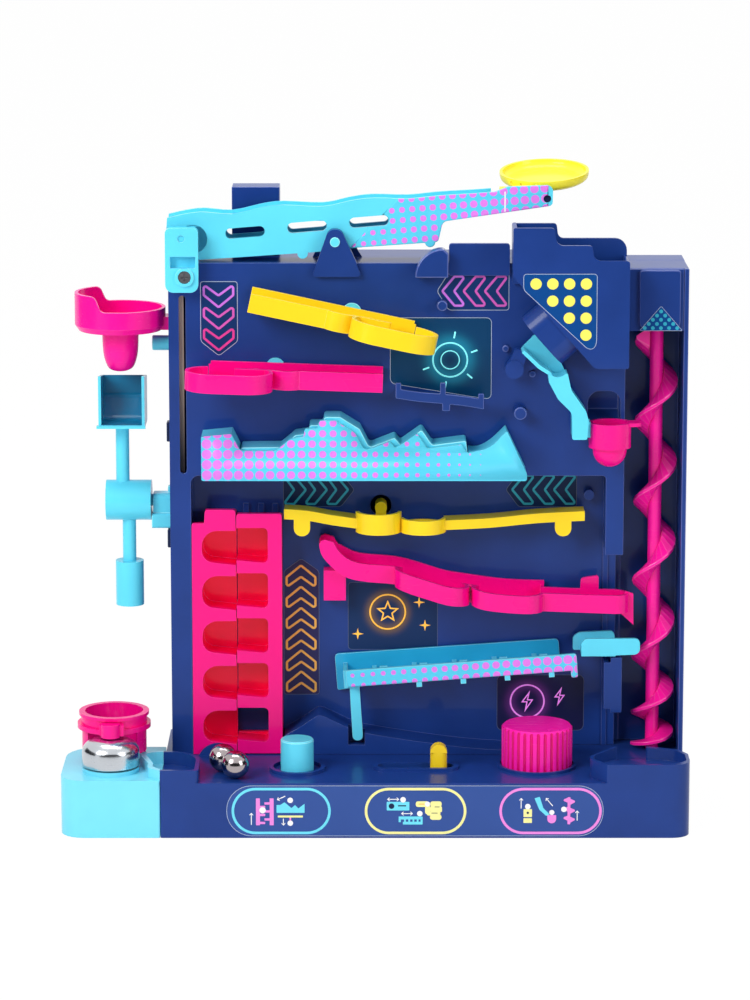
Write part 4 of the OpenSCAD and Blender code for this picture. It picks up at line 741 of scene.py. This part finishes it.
def softened(corners, radius, inner):
    # Outward corners become arcs of the radius, inward ones arcs of the inner radius
    points = [Vector(corner) for corner in corners]
    way = sum(a.x * b.y - a.y * b.x for a, b in zip(points, points[1:] + points[:1]))
    outline = []
    for i, corner in enumerate(points):
        back = (points[i - 1] - corner).normalized()
        ahead = (points[(i + 1) % len(points)] - corner).normalized()
        r = radius if (back.y * ahead.x - back.x * ahead.y) * way > 0 else inner
        half = back.angle(ahead) / 2
        middle = corner + (back + ahead).normalized() * (r / math.sin(half))
        start, end = (corner + side * (r / math.tan(half)) - middle for side in (back, ahead))
        for k in range(ARC_STEPS + 1):
            outline.append(tuple(middle + start.lerp(end, k / ARC_STEPS).normalized() * r))
    return outline


def arrow_row(name, tips, way, film, colours, y, film_ink="film", cut="cut"):
    # The way is 0 right, 90 up, 180 left, 270 down; the arrows take the colours in turn
    pieces = sticker(name, film, y, FILM_ROUND, CUT_LINE, film_ink, cut)
    for i, tip in enumerate(tips):
        shape = softened(turned(ARROW, *tip, way), ARROW_ROUND, ARROW_NOTCH)
        pieces.append(flat(name + "_arrow", shape, y - ARROW_AT, hollow=ARROW_LINE,
                           material=colours[i % len(colours)]))
    joined(name, pieces)


RECESS_BACK = 19.0
arrow_row("arrows_down", [(-77.9, 257.3), (-77.9, 246.4), (-77.9, 235.6)], 270,
          [(-87, 271.1), (-87, 240.8), (-77.8, 233.4), (-68.4, 240.8), (-68.4, 271.1)],
          ("lilac", "orchid", "cerise"), 0, film_ink="film_navy")
arrow_row("arrows_left", [(32.7, 266.2), (43.3, 266.2), (53.9, 266.2)], 180,
          [(30.7, 266.2), (36.6, 275.4), (66.8, 275.4), (66.8, 256.5), (36.6, 256.5)],
          ("lilac", "orchid", "orchid"), 0, film_ink="film_navy")
arrow_row("arrows_right_teal", [(-34.3, 161.5), (-23.6, 161.5), (-12.9, 161.5)], 0,
          [(-10.3, 161.5), (-17.2, 170.4), (-46.6, 170.4), (-46.6, 152.7), (-17.2, 152.7)], ("teal",),
          RECESS_BACK, cut="cut_painted_shade")
arrow_row("arrows_left_teal", [(68.8, 161.6), (79.4, 161.6), (90.0, 161.6)], 180,
          [(66.2, 161.6), (72.9, 170.6), (102.4, 170.6), (102.4, 152.6), (72.9, 152.6)], ("teal",),
          RECESS_BACK, cut="cut_painted_shade")
arrow_row("arrows_up_gold", [(-37.7, 123.0 - 11.1 * i) for i in range(6)], 90,
          [(-46.5, 119.4), (-37.6, 126.0), (-28.4, 119.4), (-28.4, 54.6), (-46.6, 54.6)], ("gold",),
          RECESS_BACK, film_ink="film_plum", cut="cut_painted_shade")

# %% [markdown]
# ### Dot prints
#
# The hill, the right half of the beam and the comb's front strip carry a print of pink dots that grow
# along the piece. Hundreds of little discs would be heavy and would have to be trimmed at the edges.
# A printed film with a dot pattern in its material trims itself, so a node group works out, for each
# point, how far it is from the middle of its dot and whether it lies inside that dot's radius.

# %% Dot pattern group
DOT_BLUR = 0.08 * MM


def placed(tree, x, z, tilt=0.0):
    # Coordinates that start at (x, z), in mm, and rise by the tilt in degrees
    where = add(tree, "TexCoord").outputs["Object"]
    return add(tree, "Mapping", {"Vector": where, "Location": (x * MM, 0, z * MM),
                                 "Rotation": (0, -math.radians(tilt), 0)}, vector_type="TEXTURE").outputs[0]


def dot_print():
    group, entry, leave = new_group("dot_print", ("Vector", "Pitch", "First Radius", "Last Radius", "Length",
                                                  "Bend"), ("Mask",))

    def sum_of(operation, *values):
        return maths(group, operation, *values)

    split = add(group, "SeparateXYZ", {0: entry["Vector"]}).outputs
    cells, squares = [], []
    for axis in ("X", "Z"):
        count = sum_of("DIVIDE", split[axis], entry["Pitch"])
        cell = sum_of("FLOOR", count)
        offset = sum_of("SUBTRACT", sum_of("SUBTRACT", count, cell), 0.5)
        cells.append(cell)
        squares.append(sum_of("MULTIPLY", offset, offset))
    away = sum_of("MULTIPLY", sum_of("SQRT", sum_of("ADD", *squares)), entry["Pitch"])
    along = sum_of("MULTIPLY", sum_of("ADD", cells[0], 0.5), entry["Pitch"])
    left = sum_of("MAXIMUM", sum_of("SUBTRACT", 1.0, sum_of("DIVIDE", along, entry["Length"])), 0.0)
    radius = add(group, "MapRange", {"Value": sum_of("POWER", left, entry["Bend"]),
                                     "To Min": entry["Last Radius"], "To Max": entry["First Radius"]})
    edge = add(group, "MapRange", {"Value": sum_of("SUBTRACT", away, radius.outputs[0]),
                                   "From Min": DOT_BLUR, "From Max": -DOT_BLUR})
    feed(group, leave, {"Mask": edge.outputs[0]})
    return group


DOTS = dot_print()


def dotted(name, pitch, first, last, length, corner, tilt=0.0, bend=1.0):
    # corner is the (x, z) in mm where the pattern starts, tilt its rise in degrees; with a bend below 1
    # the dots shrink slowly at first
    material = ink(name, PRINT_SKY)
    tree = material.node_tree
    dots = add(tree, "Group", {"Vector": placed(tree, *corner, tilt), "Bend": bend, "Pitch": pitch * MM,
                               "First Radius": first * MM, "Last Radius": last * MM,
                               "Length": length * MM}, node_tree=DOTS)
    return two_toned(material, PRINT_SKY, PRINT_PINK, dots.outputs["Mask"])


PRINT_SKY, PRINT_PINK = (0.10, 0.63, 0.86), (0.75, 0.21, 0.80)
INK["hill_dots"] = dotted("hill_dots", 5.22, 2.5, 0.0, 142, (-86.0, 174.6), bend=0.6)
INK["beam_dots"] = dotted("beam_dots", 5.1, 1.2, 2.2, 100, (-13.1, 286.4), 4.65)
INK["comb_dots"] = dotted("comb_dots", 5.2, 1.0, 2.4, 118, (-13.4, 62.2), 4.35)
print("dot prints:", [name for name in INK if name.endswith("_dots")])

# %% [markdown]
# The film itself takes its outline from the solid's front face: the face is kept, everything else is
# deleted, and the film gets its thickness. On the simpler outlines the border is inset first, so that a
# rim of plastic stays bare. The hill's notches are too sharp for that: there the rounded edge is the rim.

# %% Films cut from a front face
# A face is part of the front if it looks ahead this squarely and lies this close to it, in mm
SQUARE, NEAR = 0.99, 0.05


def face_film(name, node, y, inset, material, cuts=(), body="housing"):
    film = edit_copy(moulded[node], name, "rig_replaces")
    take("DESELECT")
    mesh = bmesh.from_edit_mesh(film.data)
    for face in mesh.faces:
        spot = face.calc_center_median() / MM
        face.select = not (face.normal.y < -SQUARE and abs(spot.y - y) < NEAR)
    bmesh.update_edit_mesh(film.data)
    bpy.ops.mesh.delete(type="FACE")
    for point, normal in cuts:
        take()
        bpy.ops.mesh.bisect(plane_co=[v * MM for v in point], plane_no=normal, clear_outer=True)
    take()
    bpy.ops.mesh.dissolve_limited(angle_limit=math.radians(1))
    take()
    if inset > 0:
        bpy.ops.mesh.inset(thickness=inset * MM, use_even_offset=True)
        take("INVERT")
        bpy.ops.mesh.delete(type="FACE")
        take()
    bpy.ops.transform.translate(value=(0, -LIFT * MM, 0))
    bpy.ops.mesh.extrude_region_move(TRANSFORM_OT_translate={"value": (0, -FILM * MM, 0)})
    face_out()
    film.data.materials.clear()
    film.data.materials.append(INK[material])
    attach(film, body)
    print(f"{name}: {len(film.data.polygons)} faces")


BEAM_FRONT, HILL_FRONT, COMB_FRONT = 3.0, -22.0, -3.4
face_film("hill_print", "hill_front", HILL_FRONT, 0, "hill_dots")
# The beam's print starts at a slanted cut and leaves the arm's end bare
BEAM_CUT = [((-6, 3, 294), (-0.72, 0, 0.69)), ((86, 3, 312), (1, 0, 0))]
face_film("beam_print", "top_beam", BEAM_FRONT, 0.7, "beam_dots", BEAM_CUT, "beam")
face_film("comb_print", "comb_shuttle", COMB_FRONT, 0.5, "comb_dots", body="comb")

# %% [markdown]
# A short white seam crosses the beam's print where its two stickers meet, and the blind hole at the tip gets
# painted shade: a dark disc at its floor. Both are thin films as well, so they ride on the beam with the
# print.

# %% Seam, and painted shade in the hole at the beam's tip
HOLE_DEPTH, THIN = 1.38, 0.04
pieces = [block("beam_seam_line", 64.2, 64.9, 305.6, 315.6, BEAM_FRONT - FILM_TOP, "white", 0.1, THIN),
          # The dark disc at the hole's floor is painted shade
          disc("beam_tip_hole_painted_shade", 85.6, 311.9, 1.85, BEAM_FRONT + HOLE_DEPTH, "dark", THIN)]
joined("beam_seam", pieces, "beam")

# %% [markdown]
# ### Dotted triangles on the hopper and the screw's cap
#
# Here the dots are few and large, so they are real discs on a film. The rows shrink from four dots to
# one on the hopper, and grow from one to five on the cap.

# %% Triangle stickers
HOPPER_FRONT = -22.0
tri = [(73.0, 270.0), (73.0, 278.0), (109.4, 278.0), (109.4, 243.4), (107.9, 240.4), (104.9, 240.4)]
pieces = sticker("hopper", tri, HOPPER_FRONT, 1.6, 0.26, "film_blue")
for row in range(4):
    for column in range(row, 4):
        pieces.append(disc("hopper_dot", 79.2 + 8.25 * column, 273.0 - 8.5 * row, 2.8,
                           HOPPER_FRONT - DOT_AT, "lemon"))
joined("hopper_sticker", pieces)

CAP_FRONT = -1.6
tri = [(131.6, 246.4), (142.4, 259.0), (153.3, 246.4)]
pieces = sticker("cap", tri, CAP_FRONT, 0.9, 0.2, "film_blue")
for row in range(5):
    for column in range(row + 1):
        pieces.append(disc("cap_dot", 142.4 + 4.05 * (column - row / 2), 256.2 - 2.1 * row, 0.95,
                           CAP_FRONT - DOT_AT, "teal", sides=16))
joined("cap_sticker", pieces)

# %% [markdown]
# ### Neon pictures
#
# Three dark pictures show glowing tube signs. The tubes are thin raised rings, stars and flashes in a
# bright ink with a painted glow: it gives off a little light of its own. The glow around each ring is
# printed, painted into the film's material: a node group turns the distance from the ring into a soft halo.

# %% Halo group and picture films
NEON_GLOW, TUBE, TUBE_HEIGHT = 0.35, 0.42, 0.3


def ring_halo():
    group, entry, leave = new_group("ring_halo", ("Vector", "Radius", "Width"), ("Mask",))
    flatten = add(group, "VectorMath", {0: entry["Vector"], 1: (1, 0, 1)}, operation="MULTIPLY")
    reach = add(group, "VectorMath", {0: flatten.outputs[0]}, operation="LENGTH").outputs["Value"]
    away = maths(group, "DIVIDE", maths(group, "SUBTRACT", reach, entry["Radius"]), entry["Width"])
    square = maths(group, "POWER", maths(group, "ABSOLUTE", away), 2.0)
    mask = maths(group, "EXPONENT", maths(group, "MULTIPLY", square, -1.0))
    feed(group, leave, {"Mask": mask})
    return group


HALO = ring_halo()


def picture(name, ring, glow_colour, width, ground):
    # The ring is its middle and its radius, the width says how far the glow reaches, all in mm
    x, z, r = ring
    material = ink(name, ground)
    tree = material.node_tree
    halo = add(tree, "Group", {"Vector": placed(tree, x, z), "Radius": r * MM, "Width": width * MM},
               node_tree=HALO)
    return two_toned(material, ground, glow_colour, halo.outputs["Mask"])


def tube_ring(name, x, z, r, y, material, thick=TUBE):
    bpy.ops.mesh.primitive_torus_add(major_radius=r * MM, minor_radius=thick * MM, major_segments=40,
                                     minor_segments=6, rotation=(math.radians(90), 0, 0))
    ring = bpy.context.object
    ring.name = name
    ring.location = (x * MM, y * MM, z * MM)
    ring.scale = (1, 1, TUBE_HEIGHT)
    bpy.ops.object.transform_apply(location=True, rotation=True, scale=True)
    bpy.ops.object.shade_smooth()
    ring.data.materials.append(INK[material])
    return ring


def star_corners(x, z, outer, inner, points=5):
    return [(x + (outer, inner)[i % 2] * math.sin(math.pi * i / points),
             z + (outer, inner)[i % 2] * math.cos(math.pi * i / points)) for i in range(2 * points)]


def flash_corners(x, z, size):
    shape = [(0.25, 1.0), (-0.55, -0.1), (-0.08, -0.1), (-0.25, -1.0), (0.55, 0.18), (0.08, 0.18)]
    return [(x + size * a, z + size * b) for a, b in shape]


def neon(name, colour):
    # Painted glow: the ink gives off a little light of its own colour, so the tubes look lit
    return ink(name, colour, more={"Emission Color": (*colour, 1), "Emission Strength": NEON_GLOW})


def neon_sign(name, corners, hollow):
    return flat(name, corners, RECESS_BACK - NEON_AT, 0.3, hollow=hollow, steps=2,
                material="neon_" + name.split("_")[0])


# Middle and radius of the ring, colour of the tube, then colour and reach of the glow, and the ground
NEON = {
    "sky": ((37.5, 231.5, 8.6), (0.24, 0.90, 0.95), (0.01, 0.22, 0.36), 4.2, (0.002, 0.045, 0.13)),
    "gold": ((6.5, 98.0, 9.0), (0.92, 0.49, 0.07), (0.16, 0.10, 0.07), 2.6, (0.006, 0.03, 0.11)),
    "rose": ((78.0, 51.0, 8.6), (0.84, 0.24, 0.82), (0.13, 0.03, 0.20), 3.0, (0.012, 0.014, 0.07)),
}
for name, (ring, tube, *glow) in NEON.items():
    INK["neon_" + name] = neon("neon_" + name, tube)
    INK["picture_" + name] = picture("picture_" + name, ring, *glow)
print("neon pictures:", list(NEON))

# %% Cyan picture on the panel
RAY = oblong(11, 14.5, -0.4, 0.4)
film = [(7.5, 252.9), (58.2, 252.9), (58.2, 211.5), (52, 212.2), (7.5, 219.5)]
x, z, r = NEON["sky"][0]
pieces = sticker("sky", film, 0, 2.6, 0.26, "picture_sky")
pieces += [tube_ring("sky_ring", x, z, r, -FILM_TOP, "neon_sky"),
           tube_ring("sky_inner_ring", x, z, 4.6, -FILM_TOP, "neon_sky", 0.3)]
for way in range(20, 380, 60):
    pieces.append(flat("sky_ray", turned(RAY, x, z, way), -NEON_AT, 0.3, material="neon_sky", steps=2))
joined("sky_picture", pieces)

# %% Gold picture in the recess
x, z, r = NEON["gold"][0]
pieces = sticker("gold", oblong(-13.8, 32.0, 113.5, 78.2), RECESS_BACK, 2.0, 0.24, "picture_gold", "cut_painted_shade")
pieces += [tube_ring("gold_ring", x, z, r, RECESS_BACK - FILM_TOP, "neon_gold"),
           neon_sign("gold_star", star_corners(x, z, 6.2, 2.7), 0.7)]
for x, z in ((22.5, 103), (25.5, 91), (-8.8, 86.5)):
    pieces.append(flat("gold_spark", star_corners(x, z, 3.0, 0.8, 4), RECESS_BACK - NEON_AT,
                       material="neon_gold"))
joined("gold_picture", pieces)

# %% Rose picture in the recess
x, z, r = NEON["rose"][0]
pieces = sticker("rose", oblong(62.4, 107.0, 65.0, 35.6), RECESS_BACK, 3.0, 0.24, "picture_rose", "cut_painted_shade")
pieces += [tube_ring("rose_ring", x, z, r, RECESS_BACK - FILM_TOP, "neon_rose"),
           neon_sign("rose_flash", flash_corners(x, z, 5.8), 0.6),
           neon_sign("rose_flash_small", flash_corners(94.5, 53.5, 5.2), 0.6)]
joined("rose_picture", pieces)

# %% [markdown]
# ### The control stickers
#
# Along the base's front runs one long film with three ringed ovals, one under each control. Small
# pictograms tell which pieces that control moves. They are drawn with discs, bars and simple outlines.

# %% Control ovals
BASE_FRONT = -54.0
# Each oval's middle and half its width, then what all have: middle and half of the height, line, end steps
OVALS = {"sky": (-46.5, 24.6), "straw": (20.1, 25.2), "rose": (87.0, 25.4)}
OVAL_MID, OVAL_HALF, OVAL_LINE, END_STEPS = 13.9, 11.9, 1.3, 12
pieces = sticker("control", oblong(-73.6, 113.2, 1.0, 26.9), BASE_FRONT, 12.5, 0.24, "film_control",
                 thick=0.06, steps=END_STEPS)
for colour, (x, half) in OVALS.items():
    outline = oblong(x - half, x + half, OVAL_MID - OVAL_HALF, OVAL_MID + OVAL_HALF)
    pieces.append(flat("oval_" + colour, outline, BASE_FRONT - SIGN_AT, OVAL_HALF - 0.01,
                       hollow=OVAL_LINE, material=colour, steps=END_STEPS))
joined("control_sticker", pieces)

# %% Pictogram helpers
ICON_Y = BASE_FRONT - SIGN_AT
# Signs overlap, so no two of them share one plane, and marks on a sign lie well in front of it
SIGN_STEP, MARK, BALL = 0.004, 0.03, 0.04


def sign_arrow(x, z, way, length):
    # A thin white arrow with its tip at (x, z)
    shape = [(0, 0), (-1.1, 1.0), (-1.35, 0.75), (-0.75, 0.2), (-length, 0.2), (-length, -0.2),
             (-0.75, -0.2), (-1.35, -0.75), (-1.1, -1.0)]
    return flat("sign_arrow", turned(shape, x, z, way), ICON_Y, material="white")


def ball(x, z, r=1.4):
    return disc("sign_ball", x, z, r, ICON_Y - BALL, "white", sides=18)


def sign(corners, colour):
    return flat("sign", corners, ICON_Y, 0.2, material=colour, steps=2)


def bar(x0, x1, z0, z1, colour, radius=0.25):
    return block("sign_bar", x0, x1, z0, z1, ICON_Y, colour, radius)


def mark(x0, x1, z0, z1, colour="dark"):
    return block("sign_mark", x0, x1, z0, z1, ICON_Y - MARK, colour, 0.1)


# %% Ladder, hill and gate: what the button moves
pieces = [bar(-59.0, -57.0, 6.6, 20.4, "rose"), bar(-52.2, -50.2, 6.6, 20.4, "rose"),
          ball(-55.7, 14.3, 1.6)]
for i in range(3):
    pieces.append(bar(-57.6, -54.4, 7.2 + 4.1 * i, 8.4 + 4.1 * i, "rose"))
    pieces.append(bar(-54.8, -51.6, 9.0 + 4.1 * i, 10.2 + 4.1 * i, "rose"))
pieces += [sign([(-48.8, 13.0), (-48.8, 17.0), (-47.0, 17.0), (-44.8, 18.4), (-41.4, 15.4),
                 (-39.6, 17.0), (-38.0, 15.2), (-34.9, 17.6), (-34.9, 13.0)], "sky"),
           bar(-48.2, -35.7, 10.6, 11.6, "straw"), ball(-42.0, 7.7), ball(-42.0, 19.4),
           bar(-42.4, -41.6, 9.0, 10.6, "rose", 0.1), sign_arrow(-61.3, 13.0, 90, 6.2),
           sign_arrow(-45.4, 6.4, 270, 3.6), sign_arrow(-48.6, 19.6, 205, 4.6)]
joined("button_signs", pieces, step=SIGN_STEP)

# %% Beam, comb and slalom track: what the slider moves
pieces = [bar(5.8, 17.0, 14.2, 18.6, "sky"),
          disc("sign_hole", 8.2, 16.4, 1.4, ICON_Y - MARK, "dark", sides=18),
          mark(11.4, 15.4, 16.3, 16.9), ball(13.9, 19.7), sign_arrow(12.0, 19.9, 0, 5.6),
          sign_arrow(6.0, 19.9, 180, 5.6),
          bar(11.7, 23.6, 9.6, 11.1, "sky"), bar(13.8, 23.6, 7.0, 8.4, "sky"),
          bar(11.7, 12.8, 8.2, 10.4, "sky", 0.1), bar(22.6, 23.6, 7.6, 10.4, "sky", 0.1), ball(22.2, 12.6),
          sign_arrow(18.8, 12.6, 0, 5.4), sign_arrow(12.9, 12.6, 180, 5.4)]
for i in range(4):
    pieces.append(bar(14.4 + 2.1 * i, 15.3 + 2.1 * i, 8.0, 10.2, "sky", 0.1))
pieces += [bar(20.2, 26.6, 16.0, 18.9, "straw", 1.0), bar(24.8, 27.4, 12.2, 17.6, "straw", 1.2),
           bar(25.6, 32.4, 11.6, 13.6, "straw", 0.9), bar(27.4, 33.0, 16.0, 18.9, "straw", 1.0),
           bar(27.4, 33.2, 13.2, 16.4, "straw", 0.8), bar(27.2, 33.0, 9.4, 12.2, "straw", 1.2),
           mark(29.6, 32.0, 15.9, 16.2), mark(28.0, 31.0, 12.7, 13.0),
           mark(21.6, 24.6, 17.3, 17.7, "gold"), ball(26.0, 17.5, 1.3)]
joined("slider_signs", pieces, step=SIGN_STEP)

# %% Lifter, arm and screw: what the knob moves
pieces = [bar(73.6, 77.8, 10.8, 14.9, "straw"), bar(73.6, 77.8, 7.8, 10.2, "straw"), ball(75.7, 16.2),
          disc("sign_eye", 75.7, 13.0, 0.6, ICON_Y - MARK, "dark", sides=12), sign_arrow(72.4, 20.6, 90, 5.4),
          sign([(79.0, 20.4), (81.6, 21.2), (83.4, 15.4), (86.6, 12.2), (84.8, 11.4), (81.4, 14.6)], "sky"),
          disc("sign_cup", 87.6, 9.8, 2.2, ICON_Y, "rose", sides=20), bar(85.4, 89.8, 9.8, 11.8, "rose", 0.2),
          ball(87.6, 13.2, 1.3), sign_arrow(84.6, 20.6, 130, 5.4), bar(95.4, 96.8, 7.1, 21.0, "rose"),
          ball(93.6, 14.8), sign_arrow(100.2, 14.2, 90, 5.2)]
for i in range(3):
    low = 7.6 + 4.6 * i
    pieces.append(sign([(96.2, low), (99.0, low + 1.6), (99.0, low + 2.4), (96.2, low + 3.6)], "rose"))
    pieces.append(sign([(96.2, low + 1.0), (93.4, low + 2.4), (93.6, low + 3.2), (96.2, low + 4.2)], "rose"))
joined("knob_signs", pieces, step=SIGN_STEP)

# %% [markdown]
# ## Painted light and shade in the slit, and two latches
#
# Through the tall slit at the panel's left a warm grey can be seen, which fades into the dark towards the
# foot. It is a strip behind the panel whose colour is painted light and shade: the light through the slit at
# the top, mixed by height into shade at the foot. Two small dark latches on the left wall hold the housing's
# halves
# together: blocks with well rounded edges.

# %% Strip of painted light and shade behind the slit
STRIP_BACK, STRIP_THICK = 3.0, 0.48
# Painted light and shade: the strip's colour goes from shade at the foot to light at the top
SHADED_FOOT, LIT_TOP = (0.035, 0.03, 0.035), (0.42, 0.34, 0.29)
INK["lining"] = graded(ink("slit_painted_light", LIT_TOP, roughness=0.5, coat=0.0), SHADED_FOOT, LIT_TOP,
                       "Z", 180, 225)
joined("slit_strip", [block("strip", -99.4, -95.5, 172.6, 264.6, STRIP_BACK, "lining", 0.3, STRIP_THICK)])


# %% Latches on the left wall
LATCH_X, LATCH_Y = -103.9 * MM, 11 * MM
LATCH_WIDTH, LATCH_DEPTH, LATCH_EDGE = 1.9 * MM, 7 * MM, 0.6 * MM


def latch(name, low, high):
    bpy.ops.mesh.primitive_cube_add(size=1, location=(LATCH_X, LATCH_Y, (low + high) / 2 * MM))
    piece = bpy.context.object
    piece.name = name
    piece.scale = (LATCH_WIDTH, LATCH_DEPTH, (high - low) * MM)
    bpy.ops.object.transform_apply(location=True, rotation=True, scale=True)
    edit(piece)
    bpy.ops.mesh.bevel(offset=LATCH_EDGE, segments=3, affect="EDGES")
    done()
    smooth(piece)
    piece.data.materials.append(INK["dark"])
    return piece


joined("wall_latches", [latch("latch_high", 188.4, 198.4), latch("latch_low", 133.9, 143.2)])

# %% [markdown]
# ## Measure and finish
#
# Dressing must not change the toy's size, so the box of the dressed toy is measured at the end.

# %% Finish
low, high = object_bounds()
